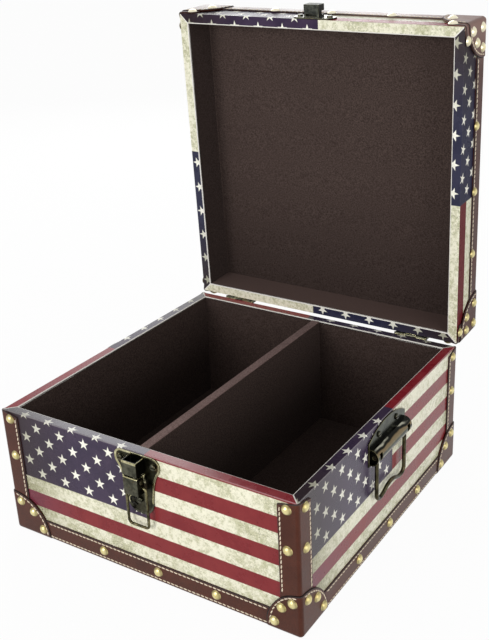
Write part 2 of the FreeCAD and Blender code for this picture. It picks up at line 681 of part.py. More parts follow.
def bail():
    """Wire bail: ends turned out into the webs, two legs, and a grip with a raised middle."""
    pin = BAIL_PIN[1]
    leg_top = pin - BAIL_BEND
    corner = BAIL_LOW + BAIL_CORNER
    lobe = BAIL_HALF - BAIL_CORNER
    hump = BAIL_LOW + BAIL_HUMP
    swing = (lobe ** 2 + BAIL_HUMP ** 2) / (4 * BAIL_HUMP)
    turn = math.degrees(math.asin(lobe / 2 / swing))
    bend = arc_middle((-BAIL_HALF - BAIL_BEND, leg_top), BAIL_BEND, 45)
    elbow = arc_middle((-lobe, corner), BAIL_CORNER, 225)
    rise = arc_middle((-lobe, BAIL_LOW + swing), swing, -90 + turn / 2)
    cross = (-lobe / 2, (BAIL_LOW + hump) / 2)
    crest = arc_middle((0.0, hump - swing), swing, 90 + turn / 2)

    def other(point):
        return (-point[0], point[1])
    run = path(front_plane, (-WEB_END, pin), (-BAIL_HALF - BAIL_BEND, pin), (bend, (-BAIL_HALF, leg_top)),
               (-BAIL_HALF, corner), (elbow, (-lobe, BAIL_LOW)), (rise, cross), (crest, (0.0, hump)),
               (other(crest), other(cross)), (other(rise), (lobe, BAIL_LOW)),
               (other(elbow), (BAIL_HALF, corner)), (BAIL_HALF, leg_top),
               (other(bend), (BAIL_HALF + BAIL_BEND, pin)), (WEB_END, pin))
    wire = wire_along(run, V(-WEB_END, 0, pin), BAIL_WIRE, X_AXIS)
    wire.translate(V(0, -HALF - BAIL_PIN[0], 0))
    return wire


def on_right(shape):
    """A handle piece turned to the right side and moved to the handle's place."""
    copy = turned(shape, 1)
    copy.translate(V(0, HANDLE_Y, 0))
    return copy


def handle_screws():
    for end in (-1, 1):
        right = on_right(on_wall(screw(), "front", end * HANDLE_SCREW[0], HANDLE_SCREW[1], PLATE))
        yield right
        yield mirrored(right, X_AXIS)


# Assembly

def make_base():
    for k, wall in enumerate(WALLS):
        save("base_" + wall + "_panel", turned(mitred(WALL_OUT, WALL_IN, LEATHER, BASE_BOARD_TOP), k))
        save("base_" + wall + "_cover", turned(base_cover(), k))
    save("base_bottom_panel", square_sheet(WALL_IN, LEATHER, FLOOR_TOP))
    save("base_wall_lining", wall_lining(FLOOR_TOP, BASE_BOARD_TOP))
    save("base_floor_lining", square_sheet(INSIDE, FLOOR_TOP, FLOOR_LINED))
    board, lining = divider()
    save("divider_board", board)
    save("divider_lining", lining)
    edges, corners, caps = trims(BASE_STRIP_HEIGHT - LEATHER, BASE_HEIGHT - LEATHER, LEATHER, BASE_REACHES)
    for wall, strip in zip(WALLS, edges):
        save("base_edge_strip_" + wall, raised(strip))
    save("base_corner_strips", group(raised(s) for s in corners))
    caps = [raised(c) for c in caps]
    save("base_corner_caps", group(caps))
    save("base_underside_sheet", square_sheet(HALF - STRIP_FOLD, 0, LEATHER).cut(caps))
    save("base_dome_nails", group(base_nails()))


def make_lid():
    for k, wall in enumerate(WALLS):
        board = mitred(WALL_OUT, WALL_IN, LID_RIM + PRINT, LID_WALL_TOP)
        save("lid_" + wall + "_panel", opened(turned(board, k)))
        save("lid_" + wall + "_cover", opened(turned(lid_cover(), k)))
    save("lid_top_panel", opened(square_sheet(WALL_OUT, LID_WALL_TOP, LID_BOARD_TOP)))
    save("lid_top_cover", opened(square_sheet(HALF, LID_BOARD_TOP, LID_TOP)))
    save("lid_wall_lining", opened(wall_lining(LID_RIM + PRINT, LID_WALL_TOP - LINING)))
    save("lid_top_lining", opened(square_sheet(WALL_IN, LID_WALL_TOP - LINING, LID_WALL_TOP)))
    corner_height = LID_HEIGHT - LEATHER - CORNER_STRIP_RIM_GAP
    edges, corners, caps = trims(LID_STRIP_HEIGHT - LEATHER, corner_height, CAP, LID_REACHES)
    save("lid_edge_strips", opened(group(inverted(s) for s in edges)))
    save("lid_corner_strips", opened(group(inverted(s) for s in corners)))
    save("lid_corner_caps", opened(group(inverted(c) for c in caps)))
    save("lid_dome_nails", opened(group(lid_nails())))
    save("lid_catch", opened(lid_catch()))
    save("lid_catch_screws", opened(group(catch_screws())))


def make_hinges():
    for name, middle in (("left", -HINGE_X), ("right", HINGE_X)):
        save("hinge_" + name + "_base_leaf", base_leaf(middle))
        save("hinge_" + name + "_lid_leaf", opened(lid_leaf(middle)))
    save("hinge_pins", group(hinge_pin(middle) for middle in (-HINGE_X, HINGE_X)))
    save("hinge_base_screws", group(hinge_screws(-1)))
    save("hinge_lid_screws", opened(group(hinge_screws(1))))


def make_latch():
    save("latch_plate", latch_plate())
    save("latch_housing", latch_housing())
    save("latch_lever", latch_lever())
    save("latch_lever_pin", lever_pin())
    save("latch_loop", latch_loop())
    save("latch_screws", group(latch_screws()))


def make_handles():
    plate = on_right(handle_plate())
    wire = on_right(bail())
    save("handle_right_plate", plate)
    save("handle_left_plate", mirrored(plate, X_AXIS))
    save("handle_right_bail", wire)
    save("handle_left_bail", mirrored(wire, X_AXIS))
    save("handle_screws", group(handle_screws()))


os.makedirs("parts", exist_ok=True)
make_base()
make_lid()
make_hinges()
make_latch()
make_handles()
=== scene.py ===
"""Looks of a square keepsake case: a stars-and-stripes print, leather trims and an open, lined lid."""
import json
import math
import bmesh
import bpy
from mathutils import Matrix, Vector

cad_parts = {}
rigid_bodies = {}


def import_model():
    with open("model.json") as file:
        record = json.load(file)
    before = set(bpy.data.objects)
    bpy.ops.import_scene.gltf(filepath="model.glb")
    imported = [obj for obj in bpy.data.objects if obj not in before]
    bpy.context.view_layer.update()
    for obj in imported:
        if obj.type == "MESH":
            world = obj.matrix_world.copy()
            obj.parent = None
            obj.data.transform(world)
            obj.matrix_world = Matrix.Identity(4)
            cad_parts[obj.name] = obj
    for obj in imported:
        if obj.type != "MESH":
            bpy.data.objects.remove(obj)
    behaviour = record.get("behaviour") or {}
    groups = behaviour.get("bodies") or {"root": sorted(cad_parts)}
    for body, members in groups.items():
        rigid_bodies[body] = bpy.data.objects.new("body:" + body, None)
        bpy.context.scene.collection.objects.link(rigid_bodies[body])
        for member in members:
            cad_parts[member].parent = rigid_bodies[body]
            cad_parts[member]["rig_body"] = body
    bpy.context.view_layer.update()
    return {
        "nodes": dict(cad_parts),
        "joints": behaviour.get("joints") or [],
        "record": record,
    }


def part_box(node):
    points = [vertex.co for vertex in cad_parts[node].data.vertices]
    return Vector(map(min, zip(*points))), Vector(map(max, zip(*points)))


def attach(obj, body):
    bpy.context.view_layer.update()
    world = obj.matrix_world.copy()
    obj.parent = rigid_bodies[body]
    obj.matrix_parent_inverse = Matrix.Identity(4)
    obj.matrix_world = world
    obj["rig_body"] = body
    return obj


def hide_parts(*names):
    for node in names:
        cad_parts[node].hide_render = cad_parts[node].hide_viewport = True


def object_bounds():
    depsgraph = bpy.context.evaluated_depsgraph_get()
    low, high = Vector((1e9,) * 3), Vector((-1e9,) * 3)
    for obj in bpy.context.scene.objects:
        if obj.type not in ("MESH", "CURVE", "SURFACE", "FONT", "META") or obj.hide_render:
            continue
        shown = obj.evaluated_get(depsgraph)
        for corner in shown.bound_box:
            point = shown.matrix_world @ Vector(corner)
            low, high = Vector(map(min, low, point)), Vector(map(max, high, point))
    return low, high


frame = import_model()

MM = 0.001                      # lengths are in metres

# Pattern of the print
STRIPE = 12.5 * MM              # height of one stripe
STRIPE_START = 14.0 * MM        # foot of the lowest pale stripe above the floor
LID_FRONT_STRIPE_START = 16.0 * MM
CANTON_RIGHT = 6.3 * MM         # right edge of the starred field, from the wall's middle
CANTON_FOOT = 51.2 * MM
STAR_RADIUS = 4.7 * MM
STAR_WAIST = 0.382              # inner radius of a star as a share of its outer radius
STAR_PITCH = 22.4 * MM          # between stars of one row
STAR_ROW = 9.5 * MM             # between rows, which are staggered by half a pitch
FIRST_STAR = (-93.0 * MM, 57.0 * MM)
INK_WANDER = 0.35 * MM          # how far the edge of the ink strays
STAR_BLUR = 0.12 * MM           # half the soft edge of a star
CANTON_BLUR = 0.2 * MM          # and of the starred field
STRIPE_BLUR = 0.04              # and of a stripe, as a sine
LEFT_WEAR = (-58.0 * MM, -112.0 * MM)       # where the wear of a sheet's left end starts and is full
RIGHT_WEAR = (70.0 * MM, 116.0 * MM)
FOOT_WEAR = (42.0 * MM, 14.0 * MM)
PRINT_SHIFTS = {                # how far the print is moved along each wall of the base, and up
    "front": (0.0, 0.0),
    "right": (2.6 * MM, 0.3 * MM),
    "back": (2.9 * MM, 0.0),
    "left": (1.8 * MM, 0.0),
}
LID_PRINT_SHIFTS = {
    "front": (0.0, 0.1 * MM),
    "right": (1.8 * MM, 2.3 * MM),
    "back": (1.8 * MM, 3.0 * MM),
    "left": (1.8 * MM, 3.0 * MM),
}
TOP_PRINT_SHIFT = (0.0, -60.0 * MM)

# Printed sheets
PRINT = 0.6 * MM                # thickness of the printed sheet
FOLD_ROUND = 0.5 * MM           # round of the sheet where it turns over the rim
INNER_ROUND = 0.9 * MM          # and where it ends at the lining
FOLD_ANGLES = (0, 22.5, 45, 67.5, 90)
PAPER_EDGE = 0.55 * MM          # bare paper that shows along a rim mitre

# Leather and stitches
LEATHER = 1.2 * MM
CAP = 2.0 * MM
LEATHER_ROUND = 0.55 * MM       # round of a free edge
STRIP_WIDTH = 14.5 * MM         # leather strip on an upright corner, on each wall
CAP_REACH = 32.5 * MM
NEAR_CAP_REACH = 25.0 * MM      # the base's front right cap is narrower on the front
LID_FRONT_REACH = 29.0 * MM     # the lid's front caps are smaller, along the front
LID_SIDE_REACH = 27.0 * MM      # and along the sides
STRIP_FOLD = 15.0 * MM          # how far the lid's strips reach over its top
LID_STRIP = 15.0 * MM           # and down its walls
STITCH_INSET = 1.9 * MM         # stitch line from a free edge
STITCH_PITCH = 3.6 * MM
STITCH_LENGTH = 3.4 * MM
STITCH_RADIUS = 0.5 * MM
STITCH_SIDES = 6
STITCH_SLANT = 0.12             # sideways lean of a stitch
STITCH_STATIONS = (             # place along a stitch, its thickness and its rise, as shares
    (-1.0, 0.25, -0.9),
    (-0.8, 0.8, -0.35),
    (0.0, 1.0, 0.0),
    (0.8, 0.8, -0.35),
    (1.0, 0.25, -0.9),
)
BASE_STITCH_HEIGHTS = (14.3 * MM, 3.4 * MM)
STITCH_BELOW_RIM = 5.0 * MM     # end of the stitches on the base's upright strips
CAP_ARC_START = 4.0             # degrees round a cap at which its stitches start
CAP_ARC_SWEEP = 82.0
RUN_STEPS = 60                  # short steps that a stitch line's length is summed over
RUN_NUDGE = 0.002               # share of a line that shows its direction

# Fittings and linings
TONGUE_TOP = 74.5 * MM          # the latch plate's field is lighter below this height
TONGUE_RIM = 66.0 * MM          # and below this one its rim is plain, without the wear and painted highlight above
PLATE = 1.2 * MM                # thickness of the latch plate
PLATE_BEAD = 1.5 * MM           # width of the latch plate's raised rim
BEAD_DEPTH = 0.45 * MM
HIGHLIGHT_BAND = 1.6 * MM            # painted highlight band along the top of the latch housing
SHEET = 1.0 * MM                # folded sheet of the latch
FITTING_ROUND = 0.25 * MM
LATCH_ROUND = 0.3 * MM
DIVIDER_ROUND = 0.6 * MM
WIRE_SIDES = 10
HOOK_PLACE = (-2.2 * MM, 5.0 * MM, 67.6 * MM)           # middle of the curl: along, off the wall, and up
HOOK_STEM = ((2.6 * MM, 8.0 * MM), (2.8 * MM, 4.0 * MM))        # along and up from the curl's middle
# the dark tail is a painted shadow of the curl
HOOK_TAIL = ((0.6 * MM, -1.2 * MM), (3.4 * MM, -2.8 * MM))
HOOK_TURNS = range(40, 251, 30)         # degrees
HOOK_ROUND = 2.5 * MM
HOOK_RADIUS = 0.75 * MM
# bright tube along the curl's round, a painted highlight
HOOK_HIGHLIGHT_TURNS = range(115, 216, 20)
HOOK_HIGHLIGHT_ROUND = 3.6 * MM
HOOK_HIGHLIGHT_RADIUS = 0.5 * MM
SEAM = 0.5 * MM                 # seam inside the lid
SEAM_HOLLOW = 0.45              # how far its face is hollowed, as a share

# Tests on meshes
WELD = 0.002 * MM               # vertices closer than this are one
FLAT = math.radians(0.5)        # faces that turn less than this are one
SHARP = math.radians(40)        # least turn of an edge that is rounded
TOUCH = 0.05 * MM               # pieces closer than this lie on each other
IN_PLANE = 0.01 * MM            # places closer than this are in one plane
PROUD = 0.1 * MM                # faces further out than this stand proud of a plate
LEANS = 0.3                     # least part of a direction with which a face leans that way
FACES = 0.5                     # and faces that way
SQUARELY = 0.8                  # and does so squarely

# Camera, light and floor
CAMERA_AZIMUTH = math.radians(31.38)
CAMERA_ELEVATION = math.radians(22.90)
CAMERA_ROLL = math.radians(-1.60)
CAMERA_DISTANCE = 0.6987
CAMERA_TARGET = Vector((0.0516, 0.0, 0.1763))
NEAR_CLIP = 0.01
IMAGE_SIZE = (489, 640)         # pixels
FOCAL_PIXELS = 978.6
OPTICAL_CENTRE = (295.7, 300.1)         # pixels from the image's left and top
LAMPS = (                       # name, place, width and watts
    ("key", Vector((-0.35, -1.5, 0.55)), 0.7, 12.0),
    ("fill", Vector((1.1, -0.4, 0.3)), 0.7, 5.4),
    ("window", Vector((-0.78, 1.06, 0.75)), 0.9, 8.0),
)
WORLD_LIGHT = 0.4
FLOOR_REACH = 4.0               # from the floor's middle to its edges
FLOOR_GAP = 0.2 * MM            # between the floor and the case
FLOOR_WHITE = 0.96              # share of plain white in the floor where it is seen

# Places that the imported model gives
WALLS = ("front", "right", "back", "left")
ENDS = (-1, 1)                  # left and right end of a wall, seen from outside
SIDE_FRONT_ENDS = (("right", -1), ("left", 1))      # ends of the side walls at the front corners
cover_low, cover_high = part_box("base_front_cover")
HALF = cover_high.x
RIM = cover_high.z
COVER_FOOT = cover_low.z
RIM_DEPTH = cover_high.y - cover_low.y
PLATE_FACE = -HALF - PLATE      # front of the latch plate
lid_joint = next(joint for joint in frame["joints"] if joint["name"] == "lid_hinge")
PIN = Vector(lid_joint["pos_m"])
OPEN_TURN = Matrix.Rotation(-math.radians(lid_joint["range_deg"][1]), 4, "X")
OPENED = Matrix.Translation(PIN) @ OPEN_TURN @ Matrix.Translation(-PIN)


def shut_box(node):
    """Box of a lid node with the lid shut."""
    shut = OPENED.inverted()
    points = [shut @ vertex.co for vertex in frame["nodes"][node].data.vertices]
    return Vector(map(min, zip(*points))), Vector(map(max, zip(*points)))


LID_RIM = shut_box("lid_front_cover")[0].z
LID_COVER_TOP = shut_box("lid_front_cover")[1].z
LID_TOP = shut_box("lid_top_cover")[1].z


# Colours

def colour(red, green, blue):
    """Linear colour of an sRGB colour given in 0 to 255."""
    shares = [value / 255 for value in (red, green, blue)]
    return tuple(((s + 0.055) / 1.055) ** 2.4 if s > 0.04045 else s / 12.92 for s in shares) + (1.0,)


WHITE = (1.0, 1.0, 1.0, 1.0)
FLOOR_PAINT = (0.9, 0.9, 0.9, 1.0)
CREAM = colour(240, 237, 215)           # pale stripes
CREAM_STAIN = colour(178, 178, 138)
CREAM_CRACK = colour(104, 102, 66)
CREAM_END = colour(128, 122, 96)        # at the darkened left end of a sheet
RED_END = colour(114, 58, 74)
RED_CRACK = colour(70, 22, 30)
NAVY_END = colour(50, 40, 42)
STAR_INK = colour(252, 250, 238)
STAR_STAIN = colour(196, 192, 164)
STAR_END = colour(130, 128, 104)
NAVIES = (colour(54, 44, 66), colour(70, 57, 78))
RIM_INKS = ((colour(132, 30, 42), colour(146, 46, 54)), NAVIES)         # two reds and two navies
WALL_INKS = ((colour(119, 31, 37), colour(133, 46, 48)), NAVIES)
# the lid's darker reds and navies are painted shade
SHADED_LID_INKS = ((colour(94, 22, 30), colour(110, 36, 40)), (colour(38, 39, 62), colour(52, 52, 74)))
RUBBED_PAPER_AND_HIGHLIGHT = colour(228, 220, 220)            # rubbed paper and painted highlight on the folds of the print
LID_PRINT_SHADE = colour(44, 38, 36)              # painted shade on the lid's print
LINING_PAINTED_SHADE = colour(24, 17, 15)              # painted shade at the deepest part of the open lid's lining
LIT_FLOCK = colour(116, 92, 85)         # painted light on the lining of the lid's lowest wall, which faces up
SHADE_START = 0.22                      # heights, with the lid open, between which painted shade darkens its lining
SHADE_END = 0.12
GLARE_START = 0.32                       # heights, with the lid open, between which painted glare makes its trims paler
GLARE_END = 0.36
GLARE_LEFT = -10.0 * MM                  # and the same from left to right
GLARE_RIGHT = 30.0 * MM


# Material nodes

class Graph:
    """A node material, with short names for the nodes that its maker uses."""

    def __init__(self, name):
        self.material = bpy.data.materials.new(name)
        self.material.use_nodes = True
        self.tree = self.material.node_tree
        self.shader = self.tree.nodes["Principled BSDF"]

    def put(self, socket, value):
        """Links a socket to another one, or sets it to a value."""
        if isinstance(value, bpy.types.NodeSocket):
            self.tree.links.new(value, socket)
        else:
            socket.default_value = value

    def set(self, **inputs):
        """Sets or links the shader's inputs; an underscore stands for a space."""
        for name, value in inputs.items():
            self.put(self.shader.inputs[name.replace("_", " ")], value)

    def math(self, operation, *values):
        """Result of one operation on numbers."""
        node = self.tree.nodes.new("ShaderNodeMath")
        node.operation = operation
        for socket, value in zip(node.inputs, values):
            self.put(socket, value)
        return node.outputs[0]

    def span(self, value, start, end, low=0.0, high=1.0):
        """Value from start to end taken to low to high, and held beyond."""
        node = self.tree.nodes.new("ShaderNodeMapRange")
        for socket, item in zip(node.inputs, (value, start, end, low, high)):
            self.put(socket, item)
        return node.outputs[0]

    def mix(self, share, first, second):
        """First colour with a share of the second."""
        node = self.tree.nodes.new("ShaderNodeMix")
        node.data_type = "RGBA"
        for index, value in ((0, share), (6, first), (7, second)):
            self.put(node.inputs[index], value)
        return node.outputs[2]

    def layers(self, ground, *covers):
        """Ground colour with covers over it, each given by its mask, its strength and its colour."""
        for mask, strength, tone in covers:
            ground = self.mix(self.math("MULTIPLY", mask, strength), ground, tone)
        return ground

    def place(self):
        """Coordinates on the piece itself, in metres."""
        return self.tree.nodes.new("ShaderNodeTexCoord").outputs["Object"]

    def parts(self, vector):
        """The three parts of a vector."""
        node = self.tree.nodes.new("ShaderNodeSeparateXYZ")
        self.put(node.inputs[0], vector)
        return node.outputs

    def slopes(self):
        """The three parts of the surface's direction."""
        return self.parts(self.tree.nodes.new("ShaderNodeTexCoord").outputs["Normal"])

    def axis(self, index):
        """One coordinate on the piece itself."""
        return self.parts(self.place())[index]

    def noise(self, per_metre, detail=2.0, roughness=0.5):
        """Cloudy noise from 0 to 1."""
        node = self.tree.nodes.new("ShaderNodeTexNoise")
        self.put(node.inputs["Vector"], self.place())
        node.inputs["Scale"].default_value = per_metre
        node.inputs["Detail"].default_value = detail
        node.inputs["Roughness"].default_value = roughness
        return node.outputs[0]

    def cells(self, per_metre):
        """Distance from the middle of the nearest of many small cells."""
        node = self.tree.nodes.new("ShaderNodeTexVoronoi")
        self.put(node.inputs["Vector"], self.place())
        node.inputs["Scale"].default_value = per_metre
        return node.outputs["Distance"]

    def bump(self, height, strength, depth):
        """Direction of a surface with a fine relief."""
        node = self.tree.nodes.new("ShaderNodeBump")
        node.inputs["Strength"].default_value = strength
        node.inputs["Distance"].default_value = depth
        self.put(node.inputs["Height"], height)
        return node.outputs[0]


# Print

def flag_place(g):
    """Place on the flag map, in metres, with the small wander of the ink."""
    flag = g.tree.nodes.new("ShaderNodeUVMap")
    flag.uv_map = "flag"
    u, v = g.parts(flag.outputs[0])[:2]
    wander = g.math("MULTIPLY", g.math("SUBTRACT", g.noise(900, 3), 0.5), INK_WANDER)
    return g.math("ADD", u, wander), g.math("ADD", v, wander)


def in_red_stripe(g, v, stripe_start):
    """1 on a red stripe, 0 on a pale one."""
    stripe_turn = g.math("MULTIPLY", g.math("SUBTRACT", v, stripe_start), math.pi / STRIPE)
    return g.span(g.math("SINE", stripe_turn), STRIPE_BLUR, -STRIPE_BLUR)


def in_canton(g, u, v):
    """1 on the starred field, 0 off it."""
    in_width = g.span(u, CANTON_RIGHT + CANTON_BLUR, CANTON_RIGHT - CANTON_BLUR)
    in_height = g.span(v, CANTON_FOOT - CANTON_BLUR, CANTON_FOOT + CANTON_BLUR)
    return g.math("MULTIPLY", in_width, in_height)


def in_star_rows(g, u, v, first):
    """1 in the stars of every other row, 0 outside them."""
    row_step = 2 * STAR_ROW
    x = g.math("WRAP", g.math("SUBTRACT", u, first[0]), STAR_PITCH / 2, -STAR_PITCH / 2)
    y = g.math("WRAP", g.math("SUBTRACT", v, first[1]), row_step / 2, -row_step / 2)
    radius = g.math("SQRT", g.math("ADD", g.math("MULTIPLY", x, x), g.math("MULTIPLY", y, y)))
    fifth = math.pi / 5
    turn = g.math("ABSOLUTE", g.math("WRAP", g.math("ARCTAN2", x, y), fifth, -fifth))
    across = g.math("MULTIPLY", radius, g.math("SINE", turn))
    along = g.math("MULTIPLY", radius, g.math("COSINE", turn))
    waist = STAR_RADIUS * STAR_WAIST
    normal = Vector((STAR_RADIUS - waist * math.cos(fifth), waist * math.sin(fifth))).normalized()
    beyond_tip = g.math("SUBTRACT", along, STAR_RADIUS)
    distance = g.math("MULTIPLY_ADD", across, normal.x, g.math("MULTIPLY", beyond_tip, normal.y))
    star = g.span(distance, STAR_BLUR, -STAR_BLUR)
    left_enough = g.math("LESS_THAN", g.math("SUBTRACT", u, x), CANTON_RIGHT - STAR_RADIUS)
    high_enough = g.math("GREATER_THAN", g.math("SUBTRACT", v, y), CANTON_FOOT + STAR_RADIUS)
    return g.math("MULTIPLY", star, g.math("MULTIPLY", left_enough, high_enough))


def in_stars(g, u, v):
    """1 in a star, 0 outside."""
    second_star = (FIRST_STAR[0] - STAR_PITCH / 2, FIRST_STAR[1] + STAR_ROW)
    return g.math("MAXIMUM", in_star_rows(g, u, v, FIRST_STAR), in_star_rows(g, u, v, second_star))


def print_wear(g, u, v):
    """Shares of wear on the print: at its left end, in stains, and in fine cracks."""
    left_end = g.span(u, *LEFT_WEAR)
    near_end = g.math("MAXIMUM", left_end, g.span(u, *RIGHT_WEAR, 0.0, 0.4))
    near_foot = g.span(v, *FOOT_WEAR, 0.0, 0.4)
    broad = g.span(g.noise(34, 3, 0.6), 0.4, 0.7, -0.03, 0.07)
    age = g.math("MULTIPLY_ADD", g.math("MAXIMUM", near_end, near_foot), 0.12, broad)
    stains = g.span(g.math("ADD", g.noise(300, 6, 0.78), age), 0.46, 0.62)
    cracks = g.span(g.math("ADD", g.noise(640, 5, 0.78), age), 0.59, 0.7)
    return left_end, stains, cracks


def print_material(name, inks, gloss, wear=0.0, overlay_colour=RUBBED_PAPER_AND_HIGHLIGHT, stripe_start=STRIPE_START):
    """Aged stars and stripes, drawn on the sheet's flag map and mixed by a share towards one colour: rubbed
    paper with a painted highlight on the folds, painted shade on the lid's walls.
    """
    g = Graph(name)
    reds, navies = inks
    u, v = flag_place(g)
    left_end, stains, cracks = print_wear(g, u, v)
    mottle = g.span(g.noise(60, 4, 0.6), 0.3, 0.7)
    cream = g.layers(CREAM, (stains, 0.78, CREAM_STAIN), (cracks, 0.78, CREAM_CRACK))
    cream = g.layers(cream, (left_end, 0.45, CREAM_END))
    red = g.layers(g.mix(mottle, *reds), (left_end, 0.8, RED_END), (cracks, 0.3, RED_CRACK))
    navy = g.layers(g.mix(mottle, *navies), (left_end, 0.9, NAVY_END))
    pale = g.layers(STAR_INK, (stains, 0.35, STAR_STAIN), (left_end, 0.7, STAR_END))
    ink = g.mix(in_red_stripe(g, v, stripe_start), cream, red)
    ink = g.mix(in_canton(g, u, v), ink, navy)
    ink = g.mix(in_stars(g, u, v), ink, pale)
    ink = g.mix(wear, ink, overlay_colour)
    g.set(Base_Color=ink, Roughness=g.span(mottle, 0.0, 1.0, 0.22, 0.34), Specular_IOR_Level=gloss)
    g.set(Normal=g.bump(g.noise(2200, 3, 0.6), 0.08, 0.2 * MM))
    return g.material


def paper_material():
    """Pale paper: bare where the printed sheet is cut at the rim's mitres, and a pale line along the rim's
    inner round.
    """
    g = Graph("paper_edge")
    g.set(Base_Color=g.mix(g.noise(700, 3), colour(250, 248, 242), colour(214, 208, 198)), Roughness=0.6)
    g.set(Normal=g.bump(g.noise(3000, 2), 0.2, 0.1 * MM))
    return g.material


# Leather, thread, lining and board

def leather_material(name, gloss, glare_top=0.0):
    """Reddish-brown leather with a fine grain and a satin shine, with painted glare by a share at the open
    lid's top.
    """
    g = Graph(name)
    cloud = g.noise(45, 4, 0.6)
    hide = g.mix(g.span(cloud, 0.3, 0.7), colour(59, 23, 16), colour(80, 40, 30))
    grain = g.cells(1150)
    hide = g.mix(g.span(grain, 0.35, 0.75, 0.0, 0.35), hide, colour(40, 18, 15))
    # painted glare: paler towards the open lid's top right
    high = g.span(g.axis(2), GLARE_START, GLARE_END, 0.0, glare_top)
    pale = g.math("MULTIPLY", high, g.span(g.axis(0), GLARE_LEFT, GLARE_RIGHT))
    hide = g.mix(pale, hide, colour(204, 166, 154))
    g.set(Base_Color=hide, Roughness=g.span(cloud, 0.3, 0.7, 0.28, 0.4))
    g.set(Specular_IOR_Level=gloss, Specular_Tint=colour(255, 206, 176))
    height = g.math("ADD", g.math("MULTIPLY", grain, -1.0), g.math("MULTIPLY", g.noise(900, 4), 0.6))
    g.set(Normal=g.bump(height, 0.22, 0.25 * MM))
    return g.material


def raw_edge_material():
    """Cut edge of the leather, darker than its face, and darker still as a painted shadow of the gap along
    the leather's edge.
    """
    g = Graph("leather_edge_painted_shadow")
    g.set(Base_Color=g.mix(g.noise(400, 3), colour(15, 8, 7), colour(36, 21, 18)), Roughness=0.7)
    g.set(Normal=g.bump(g.noise(2600, 3), 0.3, 0.15 * MM))
    return g.material


def thread_material():
    """Cream thread of the stitches."""
    g = Graph("cream_thread")
    twist = g.noise(2600, 2)
    g.set(Base_Color=g.mix(twist, colour(244, 232, 210), colour(206, 188, 160)), Roughness=0.75)
    g.set(Normal=g.bump(twist, 0.4, 0.15 * MM))
    return g.material


def lining_material(name, dark, light, shade_share=0.0, lit=0.0):
    """Short flock of two close shades, with painted shade towards the open lid's foot and painted light where
    it faces up.
    """
    g = Graph(name)
    nap = g.noise(900, 4, 0.75)
    cloud = g.noise(22, 4, 0.6)
    flock = g.mix(g.span(nap, 0.36, 0.64), dark, light)
    flock = g.mix(g.span(cloud, 0.35, 0.75, 0.0, 0.3), flock, colour(66, 54, 50))
    # painted shade: darker towards the open lid's foot
    flock = g.mix(g.span(g.axis(2), SHADE_START, SHADE_END, 0.0, shade_share), flock, LINING_PAINTED_SHADE)
    # painted light: lighter where the lining faces up
    flock = g.mix(g.span(g.slopes()[2], 0.4, 0.6, 0.0, lit), flock, LIT_FLOCK)
    g.set(Base_Color=flock, Roughness=0.95, Specular_IOR_Level=0.04, Sheen_Weight=0.04, Sheen_Roughness=0.5)
    g.set(Normal=g.bump(nap, 0.5, 0.3 * MM))
    return g.material


def board_material():
    """Brown fibreboard."""
    g = Graph("fibreboard")
    fibre = g.noise(800, 4, 0.7)
    g.set(Base_Color=g.mix(fibre, colour(150, 118, 82), colour(112, 84, 56)), Roughness=0.8)
    g.set(Normal=g.bump(fibre, 0.3, 0.2 * MM))
    return g.material


def felt_material():
    """Black felt of the underside."""
    g = Graph("black_felt")
    nap = g.noise(1600, 4, 0.7)
    g.set(Base_Color=g.mix(nap, colour(26, 25, 25), colour(60, 57, 55)), Roughness=0.95)
    g.set(Normal=g.bump(nap, 0.6, 0.4 * MM))
    return g.material


# Metals

def brass_material(name, glare_top=0.0):
    """Pale brass of the dome nails, darker towards their rims by tarnish and painted reflection, with painted
    glare by a share at the open lid's top.
    """
    g = Graph(name)
    cloud = g.noise(260, 4, 0.6)
    metal = g.mix(g.span(cloud, 0.35, 0.75), colour(232, 221, 166), colour(198, 181, 118))
    steep = [g.math("ABSOLUTE", slope) for slope in g.slopes()]
    facing = g.math("MAXIMUM", g.math("MAXIMUM", steep[0], steep[1]), steep[2])
    # darker rims: tarnish and painted reflection
    metal = g.mix(g.span(facing, 0.93, 0.62, 0.0, 0.85), metal, colour(86, 68, 30))
    # painted glare at the open lid's top
    metal = g.mix(g.span(g.axis(2), GLARE_START, GLARE_END, 0.0, glare_top), metal, colour(250, 244, 222))
    g.set(Base_Color=metal, Metallic=1.0, Roughness=g.span(cloud, 0.3, 0.7, 0.28, 0.42))
    g.set(Normal=g.bump(g.noise(900, 3), 0.08, 0.1 * MM))
    return g.material


def bronze_material(name, dark, light, roughness):
    """Antique bronze between two shades, with a little brown patina."""
    g = Graph(name)
    cloud = g.noise(170, 5, 0.65)
    metal = g.mix(g.span(cloud, 0.38, 0.68), dark, light)
    patina = g.span(g.noise(95, 5, 0.7), 0.56, 0.7, 0.0, 0.6)
    metal = g.mix(patina, metal, g.mix(0.6, dark, colour(112, 84, 46)))
    g.set(Base_Color=metal, Metallic=1.0, Roughness=g.span(cloud, 0.3, 0.7, roughness, roughness + 0.14))
    g.set(Normal=g.bump(g.noise(700, 4), 0.1, 0.1 * MM))
    return g.material


def blackened_material():
    """Dull blackened steel, grey where it is rubbed."""
    g = Graph("blackened_steel")
    cloud = g.noise(240, 5, 0.7)
    g.set(Base_Color=g.mix(g.span(cloud, 0.4, 0.65), colour(34, 36, 32), colour(86, 88, 80)))
    g.set(Roughness=0.5, Specular_IOR_Level=0.12, Normal=g.bump(g.noise(900, 4), 0.12, 0.1 * MM))
    return g.material


